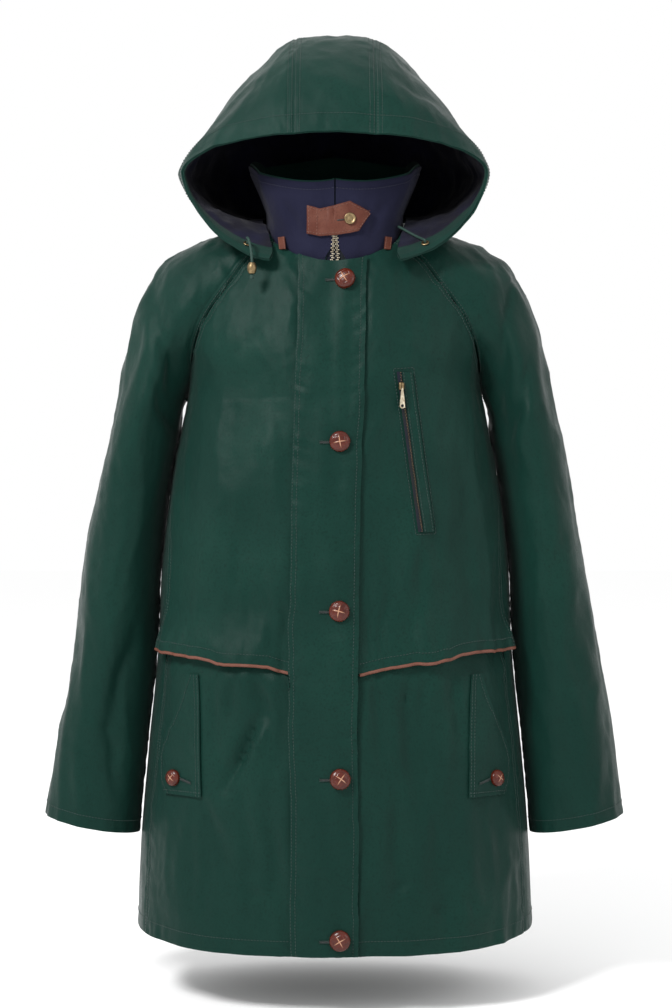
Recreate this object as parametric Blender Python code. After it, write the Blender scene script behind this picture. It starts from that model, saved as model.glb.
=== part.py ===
"""A hooded thigh-length parka, filled out with no wearer in it.

Metres, +Z up. The front faces -Y, so the wearer's left is at +X. The origin is the middle of
the neck's base, where the wearer's shoulders carry the coat. Every panel is a grid of points
on the coat's outer surface, made into a cloth wall, and what lies on a panel is made from the
panel's own points, moved out.
"""

import math

import bmesh
import bpy
import numpy as np
from mathutils import Vector
from mathutils.bvhtree import BVHTree

# Cloth and seams
WALL = 0.0018  # coated cloth with its lining
THIN_WALL = 0.0014  # pocket flaps, welts and the hood's lining
GAP = 0.0004  # between two pieces at a seam or face to face
HALF_GAP = GAP / 2
TURNED_BACK = -0.2  # the cosine between two normals below which their walls aren't mitred
LEAST_MITRE = 0.7  # below this length the sum of a seam's normals gives no direction
LAID = 0.0009  # under a flat piece that crosses the facets of a round panel
LAID_ROUND = 0.0014  # and of a rounder one
LAID_SLANTED = 0.0020  # and at the loose end of a pocket's flap

# Body
UNDERARM_Z = -0.190
HEM_Z = -0.806
HEM_SIDE_RISE = 0.010  # the hem is this much higher at the sides
ROUND = 2.35  # the exponent of the body's rounded-rectangle rings
SIDE_Y = 0.012  # where the rings are widest
SIDE_TURN = 69  # degrees from the centre front to the side seam, below the hip
NECK_FRONT_Z = -0.036
NECK_BACK_Z = 0.018
NECK_FRONT_Y = 0.100
NECK_BACK_Y = 0.085
CENTRE_EDGE_X = 0.004  # each front ends this far from the centre line, at the zip

# Storm flaps at the hip
FLAP_FRONT_Z = -0.494  # the flap's edge at the fly
FLAP_SIDE_Z = -0.474  # and at its outer end
FLAP_PROUD = 0.0085  # how far the flap stands out at its edge
FLAP_PROUD_AT_FLY = 0.0030
FLAP_LENGTH = 0.075  # the flap stands out over this height
SKIRT_TUCK = 0.030  # the skirt goes up this far behind the flap
TUCK_FROM = 0.020  # it starts to move in this far below the flap's edge
TUCK_OVER = 0.022  # and is fully in after this height
PIPING_RADIUS = 0.0019
PIPING_POINTS = 20

# Storm fly and its buttons
FLY_OVER_FLAP = 0.0032  # its extra lift where it passes over the flaps
FLY_OVER_CHEST = 0.0007  # and at its top, where the chest is roundest
FLY_CHEST_Z = -0.050  # above this height it has all of that lift
FLY_CHEST_EASE = 0.030
BUTTON_RADIUS = 0.0115
BUTTON_HEIGHT = 0.0078
BUTTONS = ((0.0116, -0.0575), (0.0055, -0.2400), (0.0050, -0.4270), (0.0055, -0.6110),
           (0.0055, -0.7870))  # x, z

# Colours: linear RGB, roughness, metallic
GREEN = ((0.016, 0.060, 0.047), 0.45, 0.0)
NAVY = ((0.014, 0.015, 0.036), 0.85, 0.0)
DARK_NAVY = ((0.008, 0.008, 0.018), 0.90, 0.0)
LEATHER = ((0.255, 0.095, 0.062), 0.60, 0.0)
BUTTON_BROWN = ((0.190, 0.030, 0.010), 0.40, 0.0)
BRASS = ((0.400, 0.310, 0.160), 0.35, 1.0)
ZIP_TAPE = ((0.010, 0.012, 0.012), 0.80, 0.0)


def table(names, *rows):
    """A small table by column name; the first column is the station and rises."""
    return dict(zip(names.split(), np.array(rows, float).T))


TORSO = table(
    "down half_width front back",  # down: distance below the origin
    (0.190, 0.1740, 0.128, 0.122),
    (0.246, 0.1850, 0.134, 0.126),
    (0.375, 0.2025, 0.139, 0.129),
    (0.480, 0.2070, 0.142, 0.132),
    (0.580, 0.2165, 0.145, 0.136),
    (0.690, 0.2260, 0.149, 0.141),
    (0.806, 0.2310, 0.153, 0.145),
)

# The raglan sleeve's rings. top and seam are the outermost and innermost points as seen from
# the front. Above the underarm a ring is an arc that ends at the raglan seams, cut_deg away
# from its top on both sides; from station 1 down it is a whole tube.
SLEEVE = table(
    "station top_x top_z seam_x seam_z cut_deg centre_y half_depth back_rise",
    (0.00, 0.0820, 0.0120, 0.0700, -0.0100, 75, 0.000, 0.0704, 0.027),
    (0.22, 0.1300, 0.0040, 0.0980, -0.0300, 82, 0.003, 0.0780, 0.022),
    (0.42, 0.1710, -0.0100, 0.1220, -0.0620, 92, 0.005, 0.0835, 0.016),
    (0.60, 0.2060, -0.0340, 0.1430, -0.0900, 104, 0.008, 0.0860, 0.010),
    (0.80, 0.2340, -0.0900, 0.1610, -0.1290, 128, 0.010, 0.0865, 0.004),
    (1.00, 0.2535, -0.1780, 0.1740, -0.1900, 180, 0.012, 0.0850, 0.000),
    (1.10, 0.2595, -0.2060, 0.1825, -0.2180, 180, 0.013, 0.0845, 0.000),
    (1.25, 0.2690, -0.2480, 0.1905, -0.2600, 180, 0.014, 0.0830, 0.000),
    (1.80, 0.2915, -0.3740, 0.2055, -0.3880, 180, 0.012, 0.0780, 0.000),
    (2.20, 0.3060, -0.4700, 0.2115, -0.4860, 180, 0.006, 0.0710, 0.000),
    (2.60, 0.3230, -0.5660, 0.2215, -0.5840, 180, -0.002, 0.0630, 0.000),
    (3.00, 0.3355, -0.6680, 0.2295, -0.6890, 180, -0.010, 0.0570, 0.000),
)

# The hood's hoops, from the opening's edge (0) back to the centre back (1). Each hoop runs
# from the centre panel's seam (top) out to its widest point (side) and in to the neck, whose
# place is a share of the half neckline. over and under are the exponents of its two curves.
HOOD = table(
    "station top_x top_y top_z side_x side_y side_z neck over under",
    (0.00, 0.0455, -0.1500, 0.0985, 0.1730, -0.0860, 0.0640, 0.20, 2.20, 1.60),
    (0.10, 0.0455, -0.1280, 0.1520, 0.1775, -0.0600, 0.0680, 0.31, 1.50, 1.60),
    (0.26, 0.0455, -0.0750, 0.2070, 0.1780, -0.0200, 0.0720, 0.43, 1.25, 1.70),
    (0.44, 0.0455, 0.0080, 0.2350, 0.1720, 0.0300, 0.0780, 0.56, 1.30, 1.80),
    (0.62, 0.0455, 0.0900, 0.2120, 0.1520, 0.0850, 0.0800, 0.68, 1.50, 2.00),
    (0.78, 0.0455, 0.1400, 0.1550, 0.1220, 0.1200, 0.0680, 0.77, 1.80, 2.00),
    (0.90, 0.0440, 0.1470, 0.0900, 0.0900, 0.1260, 0.0520, 0.82, 2.00, 1.80),
    (0.955, 0.0405, 0.1320, 0.0510, 0.0660, 0.1200, 0.0340, 0.85, 2.00, 1.60),
    (1.00, 0.0330, 0.1010, 0.0150, 0.0350, 0.1000, 0.0140, 0.88, 2.00, 1.60),
)
HOOD_FRONT_END = (0.0734, -0.1080, -0.0366)  # the opening edge's lower end, on the chest
HOOD_FREE = 0.16  # the hood's lower edge is free of the neckline up to this station
HOOD_OUT = 0.0022  # its base stands this far outside the neckline
HOOD_UP = 0.0008
FACING_WIDTH = 0.022
FACING_WALL = 0.0010
LINING_INSET = 0.0040  # from the shell's outside to the lining's
CENTRE_CROWN = 0.004  # how far the centre panel bows out between its seams

# The funnel collar, from its base (0) to its top (1)
COLLAR = table(
    "rise wide front back",  # how much wider and deeper than the neckline it is
    (0.00, 0.965, 0.960, 0.960),
    (0.25, 0.975, 0.965, 0.965),
    (0.50, 1.060, 0.975, 1.000),
    (0.75, 1.160, 0.965, 1.050),
    (1.00, 1.235, 0.940, 1.090),
)
COLLAR_HEIGHT = 0.092
COLLAR_SIDE_DROP = 0.020  # it is this much lower at the sides than at the front and back
COLLAR_TUCK = 0.003  # it starts this far below the neckline
COLLAR_PART_X = 0.0125  # half the gap between its ends at the base
COLLAR_PART_RISE = 0.30  # and the share of its height where they meet
COLLAR_WALL = 0.0014
COLLAR_MIDDLE_Y = -0.008
COLLAR_EDGE = 0.0020  # the green inner collar shows this much above the navy one

# Throat tab: its upper and lower edge from its sewn end to its point
TAB = table(
    "x high low",
    (-0.0305, 0.0270, -0.0045),
    (-0.0170, 0.0228, -0.0078),
    (0.0000, 0.0266, -0.0070),
    (0.0169, 0.0314, -0.0045),
    (0.0262, 0.0258, -0.0020),
    (0.0378, 0.0195, 0.0165),
)
TAB_WALL = 0.0022
TAB_BUTTON = (0.0169, 0.0113)
TAB_BUTTON_RADIUS = 0.0066
TAB_BUTTON_HEIGHT = 0.0026

# Leather neck tabs at the hood's ends
NECK_TAB_X = (0.0575, 0.0650)
NECK_TAB_Z = (-0.0060, -0.0300)
NECK_TAB_OUT = 0.0026

# Lower pockets: the flap's outer and inner edge down the skirt
POCKET = table(
    "down outer_x inner_x",
    (0.500, 0.1640, 0.1520),
    (0.540, 0.1770, 0.1500),
    (0.597, 0.1965, 0.1490),
    (0.618, 0.1965, 0.1485),
    (0.636, 0.1900, 0.1480),
)
POCKET_LEVELS = np.array([0.500, 0.520, 0.545, 0.570, 0.597, 0.618, 0.636])
POCKET_BUTTON = (0.1815, -0.6170)
POCKET_BUTTON_RADIUS = 0.0092
POCKET_BUTTON_HEIGHT = 0.0065

# Chest pocket on the left front: the slit's ends (x, z), the welt and the zip
SLIT_TOP = (0.0733, -0.1620)
SLIT_LOW = (0.0972, -0.3400)
WELT_WIDTH = 0.0115
TAPE_WIDTH = 0.0050
SLIDER_DOWN = 0.090  # the share of the slit above the slider
SLIDER = (0.0064, 0.0034, 0.0095)  # width, depth, height
PULL_LENGTH = 0.0235
PULL_WIDTH = 0.0062
PULL_THICK = 0.0012
PULL_HOLE = 0.0017  # radius
PULL_CLEAR = 0.0012  # from the slider's face to the tab's hinge line

# Hood hardware: eyelets (x, z), ring size, and the drawcord ends
EYELET_RIGHT = (-0.0992, -0.0180)
EYELET_LEFT = (0.1003, -0.0113)
EYELET_RADIUS = 0.0046
EYELET_HOLE = 0.0019
EYELET_HEIGHT = 0.0012
CORD_RADIUS = 0.0015
HANGING_CORD = (  # from the right eyelet over the hood's edge and down through the bead
    (-0.0985, -0.1010, -0.0105),
    (-0.0965, -0.1090, -0.0130),
    (-0.0945, -0.1135, -0.0205),
    (-0.0930, -0.1150, -0.0300),
    (-0.0925, -0.1150, -0.0400),
    (-0.0925, -0.1150, -0.0530),
)
HANGING_CORD_POINTS = 24
CORD_LEAVES = (0.0001, 0.0020, 0.0040)  # heights above the eyelet's seat of a cord's start
CROSSING_CORD_END = np.array([0.0722, 0.0074])  # x, z beside the collar
CROSSING_CORD_OUT = 0.0060  # in front of what it crosses
CROSSING_CORD_POINTS = 18
KNOT_RADIUS = 0.0026
KNOT_LENGTH = 0.0050
BEAD_ABOVE_END = 0.0006
BEAD_RADIUS = 0.0052
BEAD_LENGTH = 0.0125
BEAD_HOLE = 0.0020

# The storm fly's sewn edge (on the right front) and its free edge
FLY = table(
    "down sewn_x free_x",
    (0.030, -0.0410, 0.0352),
    (0.120, -0.0425, 0.0345),
    (0.200, -0.0450, 0.0320),
    (0.270, -0.0470, 0.0290),
    (0.360, -0.0490, 0.0262),
    (0.810, -0.0490, 0.0262),
)

# Front zip: half widths and depths of the tape and the chain
ZIP_TOP_Z = -0.040
ZIP_LOW_Z = -0.775
ZIP_TAPE_X = 0.0130
ZIP_CHAIN_X = 0.0026
ZIP_DEEP = WALL + GAP
ZIP_WALL = 0.0010
ZIP_DIP = 0.0040  # it passes behind the skirts' tucked tops

# The large folds of the body and sleeves: two ends, half width and depth (a ridge is below 0).
FOLDS = table(
    "x0 y0 z0 x1 y1 z1 width depth",
    (-0.205, -0.060, -0.055, -0.172, -0.060, -0.190, 0.016, 0.0060),
    (-0.200, -0.050, -0.150, -0.182, -0.040, -0.235, 0.013, 0.0050),
    (0.203, -0.060, -0.050, 0.180, -0.060, -0.190, 0.017, 0.0060),
    (0.222, -0.055, -0.145, 0.192, -0.060, -0.235, 0.014, 0.0045),
    (0.190, -0.060, -0.190, 0.205, -0.060, -0.300, 0.016, 0.0035),
    (-0.232, -0.050, -0.450, -0.262, -0.045, -0.600, 0.014, 0.0035),
    (0.245, -0.050, -0.300, 0.280, -0.045, -0.440, 0.018, -0.0030),
    (-0.092, -0.135, -0.550, -0.122, -0.130, -0.620, 0.012, 0.0050),
    (-0.100, -0.120, -0.240, -0.085, -0.130, -0.470, 0.028, 0.0035),
    (-0.150, -0.100, -0.300, -0.150, -0.100, -0.460, 0.022, -0.0030),
    (0.130, -0.120, -0.260, 0.145, -0.110, -0.470, 0.026, 0.0035),
    (0.085, -0.130, -0.520, 0.075, -0.140, -0.780, 0.020, 0.0040),
    (0.150, -0.110, -0.600, 0.165, -0.110, -0.790, 0.024, -0.0035),
    (-0.160, -0.105, -0.540, -0.150, -0.110, -0.780, 0.022, 0.0035),
    (0.205, 0.070, -0.060, 0.176, 0.080, -0.200, 0.017, 0.0060),
    (-0.203, 0.070, -0.055, -0.176, 0.080, -0.195, 0.016, 0.0060),
    (-0.090, 0.120, -0.200, -0.100, 0.125, -0.520, 0.030, 0.0070),
    (0.070, 0.125, -0.260, 0.095, 0.130, -0.600, 0.030, 0.0075),
    (-0.030, 0.130, -0.420, -0.020, 0.140, -0.810, 0.028, -0.0060),
    (0.150, 0.110, -0.460, 0.160, 0.120, -0.810, 0.028, 0.0065),
    (-0.165, 0.105, -0.500, -0.170, 0.115, -0.810, 0.026, 0.0065),
)

# Grid sizes
BODY_COLUMNS = 13
YOKE_ROWS = 9
UPPER_ROWS = 9
SKIRT_ROWS = 9
SLEEVE_COLUMNS = 19
CAP_ROWS = YOKE_ROWS
FLAP_ROW = YOKE_ROWS + UPPER_ROWS - 2  # the row of a front that lies on the flap's edge
ARM_ROWS = 12
HOOD_STATIONS = (1, 0.955, 0.90, 0.83, 0.75, 0.66, 0.56, 0.46, 0.36, 0.27, 0.19, 0.12, 0.06, 0)
HOOD_OVER_POINTS = 7
HOOD_UNDER_POINTS = 5
CENTRE_COLUMNS = 4
LINING_ROWS = 11
LINING_SKIP = 2  # rows; it ends short of the centre back
COLLAR_COLUMNS = 13
COLLAR_ROWS = 6
FLY_ROWS = 26
ZIP_ROWS = 24
SMALL_SIDES = 12
BUTTON_SIDES = 16


def read(rows, name, at):
    """The smooth curve through a table's column, at the given stations."""
    stations = next(iter(rows.values()))
    values = rows[name]
    slope = np.gradient(values, stations)
    i = np.clip(np.searchsorted(stations, at) - 1, 0, len(stations) - 2)
    h = stations[i + 1] - stations[i]
    f = np.clip((at - stations[i]) / h, 0, 1)
    start = values[i] * (1 + 2 * f) + slope[i] * h * f
    end = values[i + 1] * (3 - 2 * f) - slope[i + 1] * h * (1 - f)
    return start * (1 - f) ** 2 + end * f**2


def power(value, exponent):
    return np.sign(value) * np.abs(value) ** exponent


def ease(value):
    """0 below 0, 1 above 1 and smooth between."""
    f = np.clip(value, 0, 1)
    return f * f * (3 - 2 * f)


def unit(vectors):
    return vectors / np.maximum(np.linalg.norm(vectors, axis=-1, keepdims=True), 1e-12)


def grid_normals(grid):
    """The outward normal at each point of a grid whose rows go down and columns leftward."""
    along = np.gradient(grid, axis=0)
    across = np.gradient(grid, axis=1)
    return unit(np.cross(along, across))


def folded(points, normals):
    """The points with the large folds pressed in along the normals."""
    depth = np.zeros(points.shape[:-1])
    for k in range(len(FOLDS["x0"])):
        start = np.array([FOLDS[n][k] for n in ("x0", "y0", "z0")])
        end = np.array([FOLDS[n][k] for n in ("x1", "y1", "z1")])
        run = end - start
        along = np.clip((points - start) @ run / (run @ run), 0, 1)
        away = points - start - along[..., None] * run
        away[..., 1] *= 0.5
        near = np.exp(-((away**2).sum(-1)) / FOLDS["width"][k] ** 2)
        depth += FOLDS["depth"][k] * near * np.sin(np.pi * (0.1 + 0.8 * along))
    return points - normals * depth[..., None]


# --- the coat's surface: rows of points on the wearer's left (+X) half ---------------------


def torso_ring(down, turn):
    """A ring of the body; turn is 0 at the centre front, 90 at the side and 180 at the back."""
    angle = np.radians(turn)
    front = read(TORSO, "front", down) + SIDE_Y
    back = read(TORSO, "back", down) - SIDE_Y
    depth = np.where(np.cos(angle) > 0, front, back)
    x = read(TORSO, "half_width", down) * power(np.sin(angle), 2 / ROUND)
    y = SIDE_Y - depth * power(np.cos(angle), 2 / ROUND)
    return np.stack([x, y, -down + 0 * x], axis=-1)


def side_seam_turn(down):
    """The side seam starts at the underarm and runs forward to the flap's end."""
    return 90 - (90 - SIDE_TURN) * ease((down + UNDERARM_Z) / 0.20)


def sleeve_ring(station, angle):
    """A ring of the sleeve; angle runs from -cut (front seam) over 0 (top) to +cut (back)."""
    row = {name: read(SLEEVE, name, station) for name in SLEEVE}
    cut = np.radians(np.minimum(row["cut_deg"], 180))
    share = 1 - np.cos(cut)
    out_x = (row["top_x"] - row["seam_x"]) / share
    out_z = (row["top_z"] - row["seam_z"]) / share
    x = row["top_x"] - out_x + out_x * np.cos(angle)
    z = row["top_z"] - out_z + out_z * np.cos(angle)
    z = z + row["back_rise"] * np.maximum(np.sin(angle), 0)
    y = row["centre_y"] + row["half_depth"] * np.sin(angle)
    return np.stack([x + 0 * y, y, z], axis=-1)


def seam_point(station, side):
    """A point of the raglan seam; side is -1 at the front and +1 at the back."""
    cut = math.radians(min(float(read(SLEEVE, "cut_deg", station)), 180))
    return sleeve_ring(station, np.array(side * cut))


def yoke_row(station, columns, side):
    """A body row above the underarm, from the centre front or back to the raglan seam."""
    end = seam_point(station, side)
    neck_y, neck_z = (NECK_FRONT_Y, NECK_FRONT_Z) if side < 0 else (NECK_BACK_Y, NECK_BACK_Z)
    low_y = float(TORSO["front" if side < 0 else "back"][0])
    depth = neck_y + (low_y - neck_y) * math.sin(station * math.pi / 2) + SIDE_Y * -side
    centre_z = neck_z + (-UNDERARM_Z + neck_z) * -station
    reach = min(abs(end[1] - SIDE_Y) / depth, 1.0)
    wide = end[0] / (1 - reach**ROUND) ** (1 / ROUND)
    last = math.asin(min(1.0, (end[0] / wide) ** (ROUND / 2)))
    angle = np.linspace(0, last, columns)
    x = wide * np.sin(angle) ** (2 / ROUND)
    y = SIDE_Y + side * depth * np.cos(angle) ** (2 / ROUND)
    if last > 1.57:
        y[-1] = end[1]
    z = centre_z + (end[2] - centre_z) * (x / end[0]) ** 2
    row = np.stack([x, y, z], axis=-1)
    row[-1] = end
    return row


def flap_edge_z(turn):
    """The height of the storm flap's lower edge round the front, with its shallow wave."""
    f = np.clip(turn / SIDE_TURN, 0, 1)
    wave = 0.0030 * np.sin(f * math.pi * 2.0 + 0.4) * np.sin(f * math.pi)
    return FLAP_FRONT_Z + (FLAP_SIDE_Z - FLAP_FRONT_Z) * f**1.3 + wave


def hem_z(turn):
    return HEM_Z + HEM_SIDE_RISE * np.sin(np.radians(turn)) ** 4


def lower_rows(turns):
    """Body rows from the underarm to the flap's edge and on to the hem."""
    above = hung_rows(lambda t: UNDERARM_Z, flap_edge_z, UPPER_ROWS, turns)
    below = hung_rows(flap_edge_z, hem_z, SKIRT_ROWS, turns)
    return np.concatenate([above, below[1:]])


def hung_rows(top, low, rows, turns):
    """Body rows between two heights; top and low are functions of the turn."""
    out = []
    for f in np.linspace(0, 1, rows):
        down_at = -(np.array([top(t) for t in range(0, 181)]))
        low_at = -(np.array([low(t) for t in range(0, 181)]))
        levels = down_at + (low_at - down_at) * f
        middle = float(levels.mean())
        turn = turns(middle)
        down = np.interp(turn, np.arange(181), levels)
        out.append(np.stack([torso_ring(d, t) for d, t in zip(down, turn)]))
    return np.array(out)


def front_turns(down):
    return side_seam_turn(down) * np.linspace(0, 1, BODY_COLUMNS)


def back_turns(down):
    return np.linspace(side_seam_turn(down), 180, BODY_COLUMNS)


def trimmed(grid, x_from):
    """The grid with its first column moved out from the centre line."""
    grid = grid.copy()
    share = (x_from / np.maximum(grid[:, 1, 0], x_from * 1.5))[:, None]
    grid[:, 0] = grid[:, 0] * (1 - share) + grid[:, 1] * share
    grid[:, 0, 0] = x_from
    return grid


def proud(grid, turns):
    """Stands the lowest part of an upper front out as the storm flap."""
    edge = flap_edge_z(turns)
    above = grid[..., 2] - edge
    f = np.clip(turns / SIDE_TURN, 0, 1)
    most = FLAP_PROUD_AT_FLY + (FLAP_PROUD - FLAP_PROUD_AT_FLY) * ease(f * 2.6 - 0.38)
    lift = most * ease(1 - above / FLAP_LENGTH) ** 1.5
    return grid + grid_normals(grid) * lift[..., None]


def whole_front():
    """The left front from the neckline over the flap's edge to the hem."""
    yoke = np.array([yoke_row(s, BODY_COLUMNS, -1) for s in np.linspace(0, 1, YOKE_ROWS)])
    return np.concatenate([yoke, lower_rows(front_turns)[1:]])


def whole_back():
    """The left half of the back; its first column is the side seam."""
    yoke = np.array([yoke_row(s, BODY_COLUMNS, 1) for s in np.linspace(0, 1, YOKE_ROWS)])
    return np.concatenate([yoke[:, ::-1], lower_rows(back_turns)[1:]])


def upper_part(front):
    """A front's rows down to the flap's edge, the lowest standing out as the flap."""
    return proud(front[: FLAP_ROW + 1], SIDE_TURN * np.linspace(0, 1, BODY_COLUMNS))


def skirt_part(front):
    """A front's rows below the flap, with a top row tucked up inside the upper part."""
    edge, above = front[FLAP_ROW], front[FLAP_ROW - 1]
    share = SKIRT_TUCK / np.linalg.norm(above - edge, axis=-1, keepdims=True)
    grid = np.concatenate([[edge + (above - edge) * share], front[FLAP_ROW:]])
    height = grid[..., 2] - flap_edge_z(SIDE_TURN * np.linspace(0, 1, BODY_COLUMNS))
    tuck = (WALL + 2 * GAP) * ease((height + TUCK_FROM) / TUCK_OVER)
    return grid - grid_normals(grid) * tuck[..., None]


def sleeve_grid():
    """Rows from the neck to the cuff; the rows of the tube end where they start."""
    stations = np.concatenate([np.linspace(0, 1, CAP_ROWS), np.linspace(1, 3, ARM_ROWS)[1:]])
    rows = []
    for s in stations:
        cut = math.radians(min(float(read(SLEEVE, "cut_deg", s)), 180)) if s < 1 else math.pi
        rows.append(sleeve_ring(s, np.linspace(-cut, cut, SLEEVE_COLUMNS)))
    return np.array(rows)


# --- making solids -------------------------------------------------------------------------


def material(name, look):
    made = bpy.data.materials.get(name) or bpy.data.materials.new(name)
    made.use_nodes = True
    shader = made.node_tree.nodes["Principled BSDF"]
    colour, roughness, metallic = look
    shader.inputs["Base Color"].default_value = (*colour, 1)
    shader.inputs["Roughness"].default_value = roughness
    shader.inputs["Metallic"].default_value = metallic
    return made


def add_object(name, points, faces, look, smooth=True):
    mesh = bpy.data.meshes.new(name)
    mesh.from_pydata([tuple(map(float, p)) for p in points], [], faces)
    made = bmesh.new()
    made.from_mesh(mesh)
    bmesh.ops.recalc_face_normals(made, faces=made.faces)
    made.to_mesh(mesh)
    made.free()
    if smooth:
        mesh.shade_smooth()
        mesh.set_sharp_from_angle(angle=math.radians(50))
    mesh.materials.append(material(look[0], look[1]))
    result = bpy.data.objects.new(name, mesh)
    bpy.context.collection.objects.link(result)
    return result


SIDE_SIGN = {"left": np.array([1, 1, 1]), "right": np.array([-1, 1, 1])}


def mirrored(grid):
    """The wearer's right side; columns are turned round so that the outside stays outside."""
    flipped = grid[:, ::-1].copy()
    flipped[..., 0] *= -1
    return flipped


def seam_key(point):
    return tuple(np.round(np.asarray(point) / 2e-5).astype(int))


def edge_indices(grid):
    rows, columns = grid.shape[:2]
    for i, j in np.ndindex(rows, columns):
        if i in (0, rows - 1) or j in (0, columns - 1):
            yield i, j


def joined_normals(panels):
    """For each panel the normals its wall is made along, and the mitres of its seams.

    A mitre is the mean of all the normals that meet at a seam's point. A wall's own normal
    there leaves out a panel that turns back on it, as the sleeve does under the arm.
    """
    plain = {name: grid_normals(grid) for name, grid in panels.items()}
    met = {}
    for name, grid in panels.items():
        for place in edge_indices(grid):
            met.setdefault(seam_key(grid[place]), []).append(plain[name][place])
    out = {}
    for name, grid in panels.items():
        normals, mitres = plain[name].copy(), plain[name].copy()
        for place in edge_indices(grid):
            own = plain[name][place]
            meeting = met[seam_key(grid[place])]
            normals[place] = unit(sum(n for n in meeting if n @ own > TURNED_BACK))
            total = sum(meeting)
            mitres[place] = unit(total) if np.linalg.norm(total) > LEAST_MITRE else (0, 0, -1)
        out[name] = normals, mitres
    return out


def drawn_back(grid, normals, mitres, edges):
    """The outer points with the named edges moved half a gap away from their seams."""
    outer = grid.copy()
    sides = {"s": np.s_[:, 0], "e": np.s_[:, -1], "t": np.s_[0], "b": np.s_[-1]}
    inside = {"s": np.s_[:, 1], "e": np.s_[:, -2], "t": np.s_[1], "b": np.s_[-2]}
    for side in edges:
        edge = sides[side]
        seam = np.gradient(grid[edge], axis=0)
        inward = unit(grid[inside[side]] - grid[edge]) - normals[edge]
        away = 0
        for facing in (normals[edge], mitres[edge]):
            across = unit(np.cross(seam, facing))
            away = away + across * np.sign((across * inward).sum(-1, keepdims=True))
        outer[edge] += unit(away) * HALF_GAP
    return outer


def wall(name, grid, thickness, look, joined=None, edges="", closed_from=None):
    """A cloth wall from a grid of its outer points.

    edges names the sides drawn back by half a gap: t(op), b(ottom), s(tart), e(nd).
    From the row closed_from on, a row's last point is its first: the panel is a tube there.
    """
    rows, columns = grid.shape[:2]
    normals, mitres = joined or (grid_normals(grid), None)
    outer = drawn_back(grid, normals, mitres, edges)
    if closed_from is not None:
        outer[closed_from, 0] = (outer[closed_from, 0] + outer[closed_from, -1]) / 2
        outer[closed_from + 1 :, 0] = grid[closed_from + 1 :, 0]
        outer[closed_from:, -1] = outer[closed_from:, 0]
    inner = outer - normals * thickness
    points = np.concatenate([outer.reshape(-1, 3), inner.reshape(-1, 3)])
    layer = rows * columns

    def at(i, j, deep=0):
        if closed_from is not None and i >= closed_from and j == columns - 1:
            j = 0
        return deep * layer + i * columns + j

    faces = []
    for i in range(rows - 1):
        for j in range(columns - 1):
            quad = [(i, j), (i, j + 1), (i + 1, j + 1), (i + 1, j)]
            falling = np.linalg.norm(grid[i, j] - grid[i + 1, j + 1])
            if falling > np.linalg.norm(grid[i, j + 1] - grid[i + 1, j]):
                quad = quad[1:] + quad[:1]
            for corners in (quad[:3], quad[2:] + quad[:1]):
                faces.append([at(*p) for p in corners])
                faces.append([at(*p, 1) for p in reversed(corners)])
    rim = [((0, j), (0, j + 1)) for j in range(columns - 1)]
    rim += [((rows - 1, j + 1), (rows - 1, j)) for j in range(columns - 1)]
    open_rows = rows - 1 if closed_from is None else closed_from
    rim += [((i + 1, 0), (i, 0)) for i in range(open_rows)]
    rim += [((i, columns - 1), (i + 1, columns - 1)) for i in range(open_rows)]
    for a, b in rim:
        if a < b:  # both pieces at a seam are cut from the upper outer to the lower inner corner
            faces += [[at(*b), at(*a), at(*b, 1)], [at(*a), at(*a, 1), at(*b, 1)]]
        else:
            faces += [[at(*b), at(*a), at(*a, 1)], [at(*b), at(*a, 1), at(*b, 1)]]
    used = sorted({v for f in faces for v in f})
    place = {v: k for k, v in enumerate(used)}
    faces = [[place[v] for v in f] for f in faces]
    return add_object(name, points[used], faces, look)


def tube(name, line, radius, look, sides=6):
    """A round cord along a line of points, with flat ends."""
    line = np.asarray(line, float)
    along = unit(np.gradient(line, axis=0))
    level = np.eye(3)[np.abs(along).max(axis=0).argmin()]  # the axis it runs least along
    first = unit(np.cross(along, level))
    second = np.cross(first, along)
    turn = np.arange(sides) * 2 * math.pi / sides
    rings = line[:, None] + radius * (
        first[:, None] * np.cos(turn)[None, :, None] + second[:, None] * np.sin(turn)[None, :, None]
    )
    count = len(line)
    faces = []
    for i in range(count - 1):
        for j in range(sides):
            k = (j + 1) % sides
            faces.append([i * sides + j, i * sides + k, (i + 1) * sides + k, (i + 1) * sides + j])
    faces.append(list(range(sides)))
    faces.append([(count - 1) * sides + j for j in reversed(range(sides))])
    return add_object(name, rings.reshape(-1, 3), faces, look)


def turned(name, profile, place, axis, look, sides=16, hollow=False):
    """A turned piece: profile rows are (radius, height); a hollow one closes on itself."""
    axis = unit(np.asarray(axis, float))
    side = unit(np.cross(axis, [0.0, 0.0, 1.0] if abs(axis[2]) < 0.9 else [1.0, 0.0, 0.0]))
    other = np.cross(axis, side)
    points = []
    rings = []
    for radius, height in profile:
        centre = np.asarray(place) + axis * height
        if radius == 0:
            rings.append([len(points)])
            points.append(centre)
            continue
        rings.append(list(range(len(points), len(points) + sides)))
        for k in range(sides):
            turn = 2 * math.pi * k / sides
            points.append(centre + radius * (side * math.cos(turn) + other * math.sin(turn)))
    faces = []
    for low, high in zip(rings, rings[1:] + rings[:1] if hollow else rings[1:]):
        for k in range(sides):
            n = (k + 1) % sides
            if len(low) == 1:
                faces.append([low[0], high[n], high[k]])
            elif len(high) == 1:
                faces.append([low[k], low[n], high[0]])
            else:
                faces.append([low[k], low[n], high[n], high[k]])
    for end, turn in ((rings[0], -1), (rings[-1], 1)):
        if len(end) > 1 and not hollow:
            faces.append(end[::turn])
    return add_object(name, points, faces, look)


# --- pieces --------------------------------------------------------------------------------

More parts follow.
